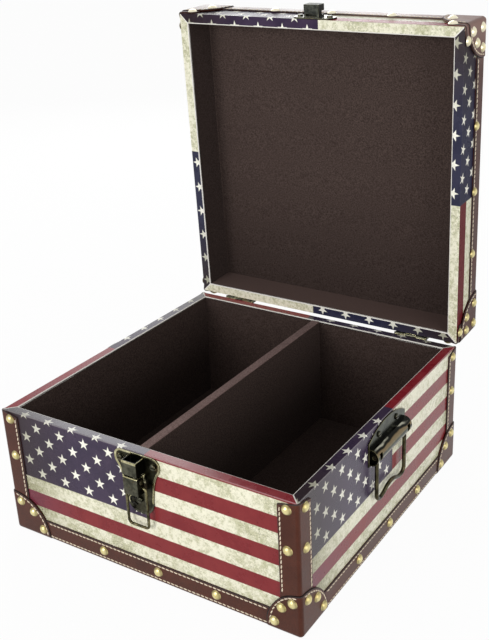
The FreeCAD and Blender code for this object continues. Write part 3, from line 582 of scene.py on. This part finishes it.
def barrel_material():
    """Plate and rolled barrel of a handle: bronze with painted reflections, dark and light bands and a
    painted glint set by which way the barrel's round faces.
    """
    g = Graph("rolled_bronze_painted_reflection")
    slopes = g.slopes()
    # painted reflection: dark, brown and light bands by how far the face points up
    wave = g.math("MULTIPLY", g.math("SUBTRACT", g.noise(48, 2, 0.5), 0.5), 0.8)
    rise = g.math("ADD", slopes[2], wave)
    flat = g.span(g.math("ABSOLUTE", slopes[0]), 0.97, 0.99)
    cloud = g.span(g.noise(170, 5, 0.65), 0.38, 0.68)
    metal = g.mix(cloud, colour(106, 100, 78), colour(144, 137, 112))
    metal = g.mix(g.span(rise, 0.1, 0.45), metal, colour(118, 102, 76))
    metal = g.mix(g.span(rise, 0.56, 0.66), metal, colour(20, 20, 16))
    # painted glint, a narrow bright band broken by noise
    glint = g.math("MULTIPLY", g.span(rise, 0.78, 0.86), g.span(rise, 0.98, 0.9))
    glint = g.math("MULTIPLY", glint, g.span(g.noise(75, 2), 0.42, 0.56))
    metal = g.mix(glint, metal, colour(160, 158, 142))
    plate = g.mix(cloud, colour(40, 44, 36), colour(84, 88, 75))
    metal = g.mix(flat, metal, plate)
    g.set(Base_Color=metal, Metallic=1.0, Roughness=0.2)
    g.set(Normal=g.bump(g.noise(700, 4), 0.1, 0.1 * MM))
    return g.material


# Materials of this case

PRINTED = print_material("stars_and_stripes", WALL_INKS, 0.18)
GLOSSY = print_material("stars_and_stripes_glossy", WALL_INKS, 0.36)
FRONT_RIM = print_material("stars_and_stripes_front_rim", RIM_INKS, 0.42)
SIDE_RIM = print_material("stars_and_stripes_side_rim", RIM_INKS, 0.1)
# folds paler with rubbed paper and a painted highlight
FOLD = print_material("stars_and_stripes_fold", RIM_INKS, 0.3, 0.2)
LID_FRONT = print_material("stars_and_stripes_lid_front", RIM_INKS, 0.03, stripe_start=LID_FRONT_STRIPE_START)
# lid walls darkened by painted shade
SHADED_LID_PRINT = print_material("stars_and_stripes_lid_painted_shade", SHADED_LID_INKS, 0.02, 0.1, LID_PRINT_SHADE)
LID_SHEET = print_material("stars_and_stripes_lid", SHADED_LID_INKS, 0.18)
PAPER = paper_material()
HIDE = leather_material("brown_leather", 0.33)
# lid leather with painted glare at its top
LID_HIDE = leather_material("lid_leather", 0.1, 0.36)
DARK_EDGE_AND_SHADOW = raw_edge_material()
THREAD = thread_material()
# painted shade darkens this flock towards the open lid's foot and below it
FLOCK = lining_material("brown_flock", colour(49, 39, 36), colour(87, 73, 68), shade_share=0.4)
# darker copy of the flock, painted shade inside the base
BASE_FLOCK_PAINTED_SHADE = lining_material("base_flock_painted_shade", colour(44, 34, 31), colour(80, 66, 61))
# darker copy with painted shade, and painted light where it faces up
LID_WALL_FLOCK_LIGHT_AND_SHADE = lining_material("lid_wall_flock_painted_light_and_shade", colour(38, 30, 28), colour(70, 58, 54), lit=0.55)
# rubbed flock, lightened further as painted light
RUBBED_FLOCK_PAINTED_LIGHT = lining_material("rubbed_flock_painted_light", colour(104, 84, 80), colour(146, 122, 117))
BRASS = brass_material("pale_brass")
# lid nails with painted glare at the lid's top
LID_BRASS = brass_material("lid_brass", 0.8)
BRONZE = bronze_material("antique_bronze", colour(54, 54, 44), colour(98, 97, 82), 0.2)
# bronze darkened as painted shade: shaded sides, barrel ends and the latch's curl
SHADE_PAINTED_BRONZE = bronze_material("bronze_painted_shade", colour(12, 12, 11), colour(34, 33, 28), 0.3)
FIELD_BRONZE = bronze_material("field_bronze", colour(24, 24, 18), colour(58, 57, 43), 0.26)
TONGUE_BRONZE = bronze_material("tongue_bronze", colour(34, 32, 22), colour(76, 74, 58), 0.24)
WIRE = bronze_material("wire_bronze", colour(56, 54, 38), colour(130, 124, 92), 0.18)
BAIL_WIRE = bronze_material("bail_bronze", colour(36, 34, 24), colour(94, 88, 64), 0.16)
# bright bronze of worn edges, also used for painted highlights
WORN_BRONZE_AND_HIGHLIGHT = bronze_material("worn_bronze_and_painted_highlight", colour(142, 136, 98), colour(216, 210, 172), 0.2)
BARREL = barrel_material()
BLACKENED = blackened_material()

# Places of the metals in the list that a fitting gets
METALS = (BRONZE, WORN_BRONZE_AND_HIGHLIGHT, SHADE_PAINTED_BRONZE, FIELD_BRONZE, BLACKENED, TONGUE_BRONZE)
# DARK holds painted shade; BRIGHT holds worn edges and painted highlights
PLAIN, BRIGHT, DARK, FIELD, BLACK, TONGUE = range(6)
ROUNDED = 1                     # place of the material that rounded edges take, on any piece

# Places of a cover's materials
ON_WALL, ON_RIM, ON_FOLD, ON_PAPER = range(4)
BASE_SHEETS = {                 # materials of a cover's wall, rim and fold
    "front": (PRINTED, FRONT_RIM, FOLD),
    "right": (GLOSSY, SIDE_RIM, FOLD),
    "back": (PRINTED, FRONT_RIM, FOLD),
    "left": (PRINTED, SIDE_RIM, FOLD),
}
LID_FRONT_SHEETS = (LID_FRONT, LID_FRONT, LID_FRONT)
LID_SHEETS = (SHADED_LID_PRINT, LID_SHEET, LID_SHEET)

# Looks of the solids that show as they are, by material slot or by node
SLOT_LOOKS = {
    "board": board_material(),
    "print": PRINTED,
    "lining": FLOCK,
    "leather": HIDE,
    "nails": BRASS,
    "hardware": BRONZE,
    "felt": felt_material(),
}
NODE_LOOKS = {
    "base_wall_lining": BASE_FLOCK_PAINTED_SHADE,
    "base_floor_lining": BASE_FLOCK_PAINTED_SHADE,
    "lid_wall_lining": LID_WALL_FLOCK_LIGHT_AND_SHADE,
    "lid_dome_nails": LID_BRASS,
}

# Nodes that are redrawn with softened edges
LEATHER_NODES = ["base_edge_strip_" + wall for wall in WALLS]
LEATHER_NODES += ["base_corner_strips", "base_corner_caps"]
LEATHER_NODES += ["lid_edge_strips", "lid_corner_strips", "lid_corner_caps"]
HANDLE_PLATES = ("handle_right_plate", "handle_left_plate")
HINGE_LEAVES = ["hinge_" + side + leaf for leaf in ("_base_leaf", "_lid_leaf") for side in ("left", "right")]
LATCH_BOXES = ("latch_housing", "latch_lever")
BAILS = ("handle_right_bail", "handle_left_bail")


# Making pieces

def piece(name, mesh, body, materials, nodes):
    """A mesh drawn with the lid shut becomes a piece that rides on a body and stands for CAD nodes."""
    if body == "lid":
        mesh.transform(OPENED)
    for material in materials:
        mesh.materials.append(material)
    made = bpy.data.objects.new(name, mesh)
    bpy.context.scene.collection.objects.link(made)
    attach(made, body)
    if nodes:
        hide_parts(*nodes)
    return made


def smooth(made, degrees=40):
    """Smooth shading that keeps flat faces flat and sharp edges sharp."""
    made.data.shade_smooth()
    made.data.set_sharp_from_angle(angle=math.radians(degrees))
    weighted = made.modifiers.new("flat faces", "WEIGHTED_NORMAL")
    weighted.keep_sharp = True
    return made


def mesh_of(bm, name):
    """Mesh of a finished drawing, which is then let go."""
    mesh = bpy.data.meshes.new(name)
    bm.normal_update()
    bm.to_mesh(mesh)
    bm.free()
    return mesh


def ring_of(bm, centre, across, outward, sides):
    """Ring of vertices round a centre; across and outward are its two half axes."""
    turns = [2 * math.pi * side / sides for side in range(sides)]
    return [bm.verts.new(centre + across * math.cos(turn) + outward * math.sin(turn)) for turn in turns]


def join_rings(bm, rings):
    """Faces from each ring to the next, and one face over each end."""
    sides = len(rings[0])
    for ring, following in zip(rings, rings[1:]):
        for side in range(sides):
            after = (side + 1) % sides
            bm.faces.new((ring[side], ring[after], following[after], following[side]))
    bm.faces.new(rings[0][::-1])
    bm.faces.new(rings[-1])


def wall_turn(wall):
    """Turn that takes a piece drawn on the front wall to another wall."""
    return Matrix.Rotation(math.radians(90 * WALLS.index(wall)), 4, "Z")


# Printed covers

def cover_profile(length):
    """Section of a sheet on a wall and over its rim: depth from the wall's face, and rise above the rim.

    The two counts are the row that the rim starts from and the row that its inner round ends at.
    """
    quarter = [math.radians(angle) for angle in FOLD_ANGLES]
    outer = [(FOLD_ROUND * (1 - math.cos(a)), FOLD_ROUND * (math.sin(a) - 1)) for a in quarter]
    bends = [(INNER_ROUND * (1 - math.cos(a)), INNER_ROUND * (math.sin(a) - 1)) for a in reversed(quarter)]
    inner = [(RIM_DEPTH - depth, rise) for depth, rise in bends]
    back = [(RIM_DEPTH, -INNER_ROUND - PRINT), (PRINT, -INNER_ROUND - PRINT), (PRINT, -length)]
    return [(0.0, -length)] + outer + inner + back, len(outer), len(outer) + len(inner)


def cover_look(row, column, rim_start, rim_end):
    """Place of the material of a cover's face: paper shows at the rim's mitres, and the same pale colour runs
    along the rim's inner round.
    """
    if 0 < row < rim_start:
        return ON_FOLD
    if row == rim_start and column == 1:
        return ON_RIM
    return ON_PAPER if rim_start <= row <= rim_end else ON_WALL


def cover(name, body, wall, rim, foot, shift, sheets):
    """Printed sheet of one wall, with mitred ends and a flag map in metres."""
    up = 1 if foot < rim else -1
    profile, rim_start, rim_end = cover_profile(abs(rim - foot))
    bm = bmesh.new()
    flag = bm.loops.layers.uv.new("flag")
    places = {}
    rows = []
    for depth, rise in profile:
        end = HALF - depth
        row = []
        for u in (-end, -end + PAPER_EDGE, end - PAPER_EDGE, end):
            vertex = bm.verts.new((u, -HALF + depth, rim + up * rise))
            places[vertex] = (u - shift[0], rim + up * (rise + depth) - shift[1])
            row.append(vertex)
        rows.append(row)
    for index, (row, following) in enumerate(zip(rows, rows[1:] + rows[:1])):
        for column in range(3):
            face = bm.faces.new((row[column], row[column + 1], following[column + 1], following[column]))
            face.material_index = cover_look(index, column, rim_start, rim_end)
    bm.faces.new([row[0] for row in rows])
    bm.faces.new([row[3] for row in reversed(rows)])
    for face in bm.faces:
        for loop in face.loops:
            loop[flag].uv = places[loop.vert]
    bmesh.ops.recalc_face_normals(bm, faces=bm.faces)
    mesh = mesh_of(bm, name)
    mesh.transform(wall_turn(wall))
    smooth(piece(name, mesh, body, sheets + (PAPER,), [name]))


def lid_top_cover():
    """Printed sheet on the top of the lid."""
    bm = bmesh.new()
    flag = bm.loops.layers.uv.new("flag")
    bmesh.ops.create_cube(bm, size=1.0)
    thick = LID_TOP - LID_COVER_TOP
    bmesh.ops.scale(bm, vec=(2 * HALF, 2 * HALF, thick), verts=bm.verts)
    bmesh.ops.translate(bm, vec=(0, 0, LID_TOP - thick / 2), verts=bm.verts)
    bmesh.ops.bevel(bm, geom=bm.edges, offset=thick / 3, segments=2, affect="EDGES", profile=0.5)
    for face in bm.faces:
        for loop in face.loops:
            place = loop.vert.co
            loop[flag].uv = (place.x - TOP_PRINT_SHIFT[0], place.y - TOP_PRINT_SHIFT[1])
    mesh = mesh_of(bm, "lid_top_cover")
    smooth(piece("lid_top_cover", mesh, "lid", (PRINTED,), ["lid_top_cover"]))


def make_covers():
    """Printed sheets of the base and the lid."""
    for wall in WALLS:
        base_name = "base_" + wall + "_cover"
        cover(base_name, "base", wall, RIM, COVER_FOOT, PRINT_SHIFTS[wall], BASE_SHEETS[wall])
        lid_name = "lid_" + wall + "_cover"
        lid_sheets = LID_FRONT_SHEETS if wall == "front" else LID_SHEETS
        cover(lid_name, "lid", wall, LID_RIM, LID_COVER_TOP, LID_PRINT_SHIFTS[wall], lid_sheets)
    lid_top_cover()


# Softened copies of the model's solids

def body_of(node):
    """Name of the body that a node rides on."""
    return frame["nodes"][node]["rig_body"]


def copy_of(node):
    """Clean copy of a node's solid, with the lid shut."""
    bm = bmesh.new()
    bm.from_mesh(frame["nodes"][node].data)
    bmesh.ops.remove_doubles(bm, verts=bm.verts, dist=WELD)
    bmesh.ops.dissolve_limit(bm, angle_limit=FLAT, verts=bm.verts, edges=bm.edges)
    if body_of(node) == "lid":
        bmesh.ops.transform(bm, matrix=OPENED.inverted(), verts=bm.verts)
    bmesh.ops.recalc_face_normals(bm, faces=bm.faces)
    for face in bm.faces:
        face.material_index = PLAIN
    return bm


def round_edges(bm, width, shows=None):
    """Rounds the outer edges, or those of them that show."""
    edges = [e for e in bm.edges if len(e.link_faces) == 2 and e.calc_face_angle_signed() > SHARP]
    if shows:
        edges = [e for e in edges if any(shows(vertex.co) for vertex in e.verts)]
    bmesh.ops.bevel(bm, geom=edges, offset=width, segments=3, profile=0.5, affect="EDGES", material=ROUNDED)


def off_the_boards(place):
    """True for a place that stands off the boards that the leather lies on."""
    beside = max(abs(place.x), abs(place.y)) > HALF + TOUCH
    return beside or place.z > LID_TOP + TOUCH or place.z < COVER_FOOT - TOUCH


def paint_faces(bm, wanted, look):
    """Gives a material to those plain faces that are wanted."""
    for face in bm.faces:
        if face.material_index == PLAIN and wanted(face):
            face.material_index = look


def softened(node, bm, materials):
    """Piece that stands for one node."""
    return smooth(piece(node + "_soft", mesh_of(bm, node), body_of(node), materials, [node]))


def cut_level(bm, height):
    """Adds edges at one height, so that the faces above and below can differ."""
    everything = bm.verts[:] + bm.edges[:] + bm.faces[:]
    bmesh.ops.bisect_plane(bm, geom=everything, plane_co=(0, 0, height), plane_no=(0, 0, 1))


def make_leather():
    """Leather trims with rounded free edges."""
    for node in LEATHER_NODES:
        bm = copy_of(node)
        round_edges(bm, LEATHER_ROUND, off_the_boards)
        hide = LID_HIDE if body_of(node) == "lid" else HIDE
        softened(node, bm, (hide, DARK_EDGE_AND_SHADOW))


# Metal fittings

def handle_plate(node):
    """Plate and barrel of a handle, with painted shade at the barrel's ends."""
    bm = copy_of(node)
    round_edges(bm, FITTING_ROUND)
    # painted shade on the barrel's ends and bore
    paint_faces(bm, lambda face: abs(face.normal.y) > SQUARELY, DARK)
    softened(node, bm, (BARREL, WIRE, SHADE_PAINTED_BRONZE))


def hinge_leaf(node):
    """Bronze hinge leaf with bright edges."""
    bm = copy_of(node)
    round_edges(bm, FITTING_ROUND)
    softened(node, bm, METALS)


def latch_box(node):
    """Folded sheet with a bronze front, painted shade on its sides, and painted highlights along its upper
    and lower edges.
    """
    bm = copy_of(node)
    top = max(vertex.co.z for vertex in bm.verts)
    inside = max(vertex.co.x for vertex in bm.verts) - SHEET
    if node == "latch_housing":
        cut_level(bm, top - HIGHLIGHT_BAND)
    round_edges(bm, LATCH_ROUND, lambda place: abs(place.x) > inside + TOUCH)
    # painted highlights: the top band of the housing's front and the rounds that lean up or down; upright
    # rounds stay plain
    for face in bm.faces:
        in_band = face.calc_center_median().z > top - HIGHLIGHT_BAND
        if face.material_index == BRIGHT and abs(face.normal.z) < LEANS:
            face.material_index = PLAIN
        if node == "latch_housing" and face.normal.y < -FACES and in_band:
            face.material_index = BRIGHT
        if face.normal.y < -LEANS and face.normal.z > LEANS:
            face.material_index = BRIGHT
    # painted shade on every face that does not face the front
    paint_faces(bm, lambda face: face.normal.y > -FACES, DARK)
    softened(node, bm, METALS)


def on_plate_face(face):
    """True for a face on the front of the latch plate."""
    return face.normal.y < -SQUARELY and abs(face.calc_center_median().y - PLATE_FACE) < IN_PLANE


def latch_plate():
    """Plate with a raised rim, bright with wear and a painted highlight, round a dark field."""
    bm = copy_of("latch_plate")
    field = [face for face in bm.faces if on_plate_face(face)]
    rim = bmesh.ops.inset_region(
        bm, faces=field, thickness=PLATE_BEAD, depth=-BEAD_DEPTH, use_even_offset=True)
    for face in rim["faces"]:
        face.material_index = BRIGHT
    for face in field:
        face.material_index = FIELD
    cut_level(bm, TONGUE_TOP)
    round_edges(bm, FITTING_ROUND)
    for face in bm.faces:
        height = face.calc_center_median().z
        if face.material_index == FIELD and height < TONGUE_TOP:
            face.material_index = TONGUE
        # the rim's painted highlight stops near the foot of the plate
        if face.material_index == BRIGHT and height < TONGUE_RIM:
            face.material_index = PLAIN
    softened("latch_plate", bm, METALS)


def lid_catch():
    """Catch with a blackened block on its bronze plate, and painted shade on its sides."""
    bm = copy_of("lid_catch")
    round_edges(bm, LATCH_ROUND)
    # painted shade on faces that point sideways
    paint_faces(bm, lambda face: abs(face.normal.x) > FACES, DARK)
    paint_faces(bm, lambda face: face.calc_center_median().y < PLATE_FACE - PROUD, BLACK)
    for face in bm.faces:
        if face.material_index == BRIGHT:
            face.material_index = PLAIN
    softened("lid_catch", bm, METALS)


def make_fittings():
    """Handles, hinges, latch and catch."""
    for node in HANDLE_PLATES:
        handle_plate(node)
    for node in HINGE_LEAVES:
        hinge_leaf(node)
    for node in LATCH_BOXES:
        latch_box(node)
    latch_plate()
    lid_catch()
    softened("latch_loop", copy_of("latch_loop"), (WIRE,))
    for node in BAILS:
        softened(node, copy_of(node), (BAIL_WIRE,))


def tube(name, points, radius, body, material):
    """Round wire along a run of points in a plane parallel to the front wall."""
    bm = bmesh.new()
    rings = []
    for index, point in enumerate(points):
        before = points[max(index - 1, 0)]
        after = points[min(index + 1, len(points) - 1)]
        along = (after - before).normalized()
        across = along.cross(Vector((0, 1, 0))).normalized()
        outward = across.cross(along)
        rings.append(ring_of(bm, point, across * radius, outward * radius, WIRE_SIDES))
    join_rings(bm, rings)
    bmesh.ops.recalc_face_normals(bm, faces=bm.faces)
    smooth(piece(name, mesh_of(bm, name), body, (material,), []), degrees=60)


def lever_hook():
    """Small dark curl with a tail that hangs under the lever, the tail a painted shadow of the curl, and a
    bright tube along its round as a painted highlight.
    """
    middle = Vector((HOOK_PLACE[0], -HALF - HOOK_PLACE[1], HOOK_PLACE[2]))

    def offset(along, up):
        return middle + Vector((along, 0, up))

    def round_place(degrees, reach):
        angle = math.radians(degrees)
        return middle + Vector((math.cos(angle), 0, math.sin(angle))) * reach

    curl = [offset(*place) for place in HOOK_STEM]
    curl += [round_place(degrees, HOOK_ROUND) for degrees in HOOK_TURNS]
    curl += [offset(*place) for place in HOOK_TAIL]
    tube("latch_lever_hook", curl, HOOK_RADIUS, "latch_lever", SHADE_PAINTED_BRONZE)
    # painted highlight along the left of the curl's round
    edge = [round_place(degrees, HOOK_HIGHLIGHT_ROUND) for degrees in HOOK_HIGHLIGHT_TURNS]
    tube("latch_lever_hook_painted_highlight", edge, HOOK_HIGHLIGHT_RADIUS, "latch_lever", WORN_BRONZE_AND_HIGHLIGHT)


# Linings

def divider_wrap():
    """Divider's lining with soft upper edges, rubbed and brightened by painted light on top."""
    bm = copy_of("divider_lining")
    top = max(vertex.co.z for vertex in bm.verts)
    round_edges(bm, DIVIDER_ROUND)
    # rubbed wear and painted light on the divider's rounds and top
    paint_faces(bm, lambda face: face.normal.z > FACES and face.calc_center_median().z > top - MM, ROUNDED)
    softened("divider_lining", bm, (BASE_FLOCK_PAINTED_SHADE, RUBBED_FLOCK_PAINTED_LIGHT))


def lid_seam(wall):
    """Seam where the lining of one lid wall meets the lining of the top."""
    name = "lid_seam_" + wall
    ceiling = shut_box("lid_top_lining")[0].z
    inner = HALF - RIM_DEPTH
    hollow = SEAM * SEAM_HOLLOW
    section = ((0, 0), (0, -SEAM), (hollow, -hollow), (SEAM, 0))
    bm = bmesh.new()
    rings = []
    for end in ENDS:
        places = [(end * (inner - depth), depth - inner, ceiling + rise) for depth, rise in section]
        rings.append([bm.verts.new(place) for place in places])
    join_rings(bm, rings)
    bmesh.ops.recalc_face_normals(bm, faces=bm.faces)
    mesh = mesh_of(bm, name)
    mesh.transform(wall_turn(wall))
    smooth(piece(name, mesh, "lid", (FLOCK,), []))


def make_linings():
    """Divider's wrap, and the seams that show inside the lid."""
    divider_wrap()
    for wall in WALLS:
        lid_seam(wall)


# Stitching

def wall_place(wall, u, height, proud):
    """Place on a wall: along it, up, and out from its face."""
    return wall_turn(wall) @ Vector((u, -HALF - proud, height))


def add_stitch(bm, middle, along, outward):
    """One stitch: a short thread that dips at its ends, half sunk in the leather."""
    across = along.cross(outward)
    rings = []
    for share, width, rise in STITCH_STATIONS:
        centre = middle + along * (share * STITCH_LENGTH / 2) + outward * (rise * STITCH_RADIUS)
        radius = STITCH_RADIUS * width
        rings.append(ring_of(bm, centre, across * radius, outward * radius, STITCH_SIDES))
    join_rings(bm, rings)


def stitch_run(bm, place, outward):
    """Stitches along a line; place gives the point at a share from 0 to 1 of the line."""
    points = [place(step / RUN_STEPS) for step in range(RUN_STEPS + 1)]
    length = sum((after - before).length for before, after in zip(points, points[1:]))
    count = max(1, int(length / STITCH_PITCH))
    for index in range(count):
        share = (index + 0.5) / count
        along = (place(share + RUN_NUDGE) - place(share - RUN_NUDGE)).normalized()
        slant = along.cross(outward) * STITCH_SLANT
        add_stitch(bm, place(share), (along + slant).normalized(), outward)


def straight(start, end):
    """Straight stitch line between two points."""
    return lambda share: start.lerp(end, share)


def cap_arc(wall, end, reach, corner_height, up):
    """Stitch line round a cap on one wall, from its edge up to the corner."""
    def place(share):
        angle = math.radians(CAP_ARC_START + CAP_ARC_SWEEP * share)
        u = end * (HALF - (reach - STITCH_INSET) * math.cos(angle))
        height = corner_height + up * (CAP_REACH - STITCH_INSET) * math.sin(angle)
        return wall_place(wall, u, height, CAP)
    return place


def base_reach(wall, end):
    """How far the base's cap reaches along a wall from one of its ends."""
    return NEAR_CAP_REACH if (wall, end) == ("front", 1) else CAP_REACH


def lid_reach(wall, end):
    """How far the lid's cap reaches along a wall from one of its ends."""
    if wall == "front":
        return LID_FRONT_REACH
    return LID_SIDE_REACH if (wall, end) in SIDE_FRONT_ENDS else CAP_REACH


def base_stitching():
    """Stitches of the base's edge strips, corner strips and caps."""
    bm = bmesh.new()
    for wall in WALLS:
        outward = wall_turn(wall) @ Vector((0, -1, 0))
        for height in BASE_STITCH_HEIGHTS:
            start = wall_place(wall, base_reach(wall, -1) - HALF, height, LEATHER)
            stop = wall_place(wall, HALF - base_reach(wall, 1), height, LEATHER)
            stitch_run(bm, straight(start, stop), outward)
        for end in ENDS:
            u = end * (HALF - STRIP_WIDTH + STITCH_INSET)
            low = wall_place(wall, u, CAP_REACH, LEATHER)
            high = wall_place(wall, u, RIM - STITCH_BELOW_RIM, LEATHER)
            stitch_run(bm, straight(low, high), outward)
            stitch_run(bm, cap_arc(wall, end, base_reach(wall, end), COVER_FOOT, 1), outward)
    mesh = mesh_of(bm, "base_stitching")
    smooth(piece("base_stitching", mesh, "base", (THREAD,), []), degrees=80)


def lid_stitching():
    """Stitches of the lid's edge strips, on its walls and its top, and of its caps."""
    bm = bmesh.new()
    leather_top = LID_TOP + LEATHER
    height = leather_top - LID_STRIP + STITCH_INSET
    inset = STRIP_FOLD - STITCH_INSET
    for wall in WALLS:
        outward = wall_turn(wall) @ Vector((0, -1, 0))
        ends = (lid_reach(wall, -1) - HALF, HALF - lid_reach(wall, 1))
        wall_line = [wall_place(wall, u, height, LEATHER) for u in ends]
        stitch_run(bm, straight(*wall_line), outward)
        top_line = [wall_turn(wall) @ Vector((u, inset - HALF, leather_top)) for u in ends]
        stitch_run(bm, straight(*top_line), Vector((0, 0, 1)))
        for end in ENDS:
            stitch_run(bm, cap_arc(wall, end, lid_reach(wall, end), LID_TOP, -1), outward)
    mesh = mesh_of(bm, "lid_stitching")
    smooth(piece("lid_stitching", mesh, "lid", (THREAD,), []), degrees=80)


# Finish of the solids that show as they are

def dress_nodes():
    """Gives each node its own look, or the look of its material slot."""
    slots = {part["node"]: part["material_slot"] for part in frame["record"]["subparts"]}
    for name, node in frame["nodes"].items():
        node.data.materials.clear()
        node.data.materials.append(NODE_LOOKS.get(name) or SLOT_LOOKS[slots[name]])


# Camera, light and floor

def make_camera():
    """Camera that was fitted to the photo."""
    data = bpy.data.cameras.new("camera")
    camera = bpy.data.objects.new("camera", data)
    bpy.context.scene.collection.objects.link(camera)
    level = math.cos(CAMERA_ELEVATION)
    side = math.sin(CAMERA_AZIMUTH) * level
    front = math.cos(CAMERA_AZIMUTH) * level
    back = Vector((side, -front, math.sin(CAMERA_ELEVATION)))
    right = Vector((0, 0, 1)).cross(back).normalized()
    up = back.cross(right)
    rolled_right = right * math.cos(CAMERA_ROLL) + up * math.sin(CAMERA_ROLL)
    rolled_up = up * math.cos(CAMERA_ROLL) - right * math.sin(CAMERA_ROLL)
    turn = Matrix((rolled_right, rolled_up, back)).transposed().to_4x4()
    camera.matrix_world = Matrix.Translation(CAMERA_TARGET + back * CAMERA_DISTANCE) @ turn
    long_side = max(IMAGE_SIZE)
    data.lens = data.sensor_width * FOCAL_PIXELS / long_side
    data.shift_x = (IMAGE_SIZE[0] / 2 - OPTICAL_CENTRE[0]) / long_side
    data.shift_y = (OPTICAL_CENTRE[1] - IMAGE_SIZE[1] / 2) / long_side
    data.clip_start = NEAR_CLIP
    bpy.context.scene.camera = camera


def seen_share(tree):
    """1 for rays that show the surface itself, straight, in a reflection or through glass."""
    path = tree.nodes.new("ShaderNodeLightPath")
    seen = path.outputs["Is Camera Ray"]
    for name in ("Is Glossy Ray", "Is Transmission Ray"):
        larger = tree.nodes.new("ShaderNodeMath")
        larger.operation = "MAXIMUM"
        tree.links.new(seen, larger.inputs[0])
        tree.links.new(path.outputs[name], larger.inputs[1])
        seen = larger.outputs[0]
    return seen


def choice(tree, share, first, second, output):
    """Sends an output the first shader, with a share of the second."""
    node = tree.nodes.new("ShaderNodeMixShader")
    tree.links.new(share, node.inputs[0])
    tree.links.new(first.outputs[0], node.inputs[1])
    tree.links.new(second.outputs[0], node.inputs[2])
    tree.links.new(node.outputs[0], output.inputs["Surface"])


def make_world():
    """White surroundings that light the case evenly."""
    world = bpy.data.worlds.new("studio")
    world.use_nodes = True
    tree = world.node_tree
    light = tree.nodes["Background"]
    light.inputs["Color"].default_value = WHITE
    light.inputs["Strength"].default_value = WORLD_LIGHT
    white = tree.nodes.new("ShaderNodeBackground")
    white.inputs["Strength"].default_value = 1.0
    white.inputs["Color"].default_value = WHITE
    choice(tree, seen_share(tree), light, white, tree.nodes["World Output"])
    bpy.context.scene.world = world


def floor_material():
    """Pale paint, mostly white where it is seen, that keeps a soft shadow."""
    material = bpy.data.materials.new("pale_floor")
    material.use_nodes = True
    tree = material.node_tree
    tree.nodes.clear()
    paint = tree.nodes.new("ShaderNodeBsdfDiffuse")
    paint.inputs["Color"].default_value = FLOOR_PAINT
    glow = tree.nodes.new("ShaderNodeEmission")
    share = tree.nodes.new("ShaderNodeMath")
    share.operation = "MULTIPLY"
    share.inputs[1].default_value = FLOOR_WHITE
    tree.links.new(seen_share(tree), share.inputs[0])
    output = tree.nodes.new("ShaderNodeOutputMaterial")
    choice(tree, share.outputs[0], paint, glow, output)
    return material


def make_floor():
    """Wide floor under the case."""
    bm = bmesh.new()
    bmesh.ops.create_grid(bm, x_segments=1, y_segments=1, size=FLOOR_REACH)
    floor = bpy.data.objects.new("floor", mesh_of(bm, "floor"))
    floor.location.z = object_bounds()[0].z - FLOOR_GAP
    bpy.context.scene.collection.objects.link(floor)
    floor.data.materials.append(floor_material())


def make_lamp(name, place, width, watts):
    """Soft square lamp that faces the middle of the case."""
    data = bpy.data.lights.new(name, "AREA")
    data.size = width
    data.energy = watts
    lamp = bpy.data.objects.new(name, data)
    lamp.location = place
    towards = Vector((0, 0, RIM)) - lamp.location
    lamp.rotation_mode = "QUATERNION"
    lamp.rotation_quaternion = towards.to_track_quat("-Z", "Y")
    lamp.visible_camera = False
    bpy.context.scene.collection.objects.link(lamp)


make_covers()
make_leather()
make_fittings()
lever_hook()
make_linings()
base_stitching()
lid_stitching()
dress_nodes()
make_camera()
make_world()
make_floor()
for lamp in LAMPS:
    make_lamp(*lamp)
bpy.context.scene.view_settings.view_transform = "Standard"
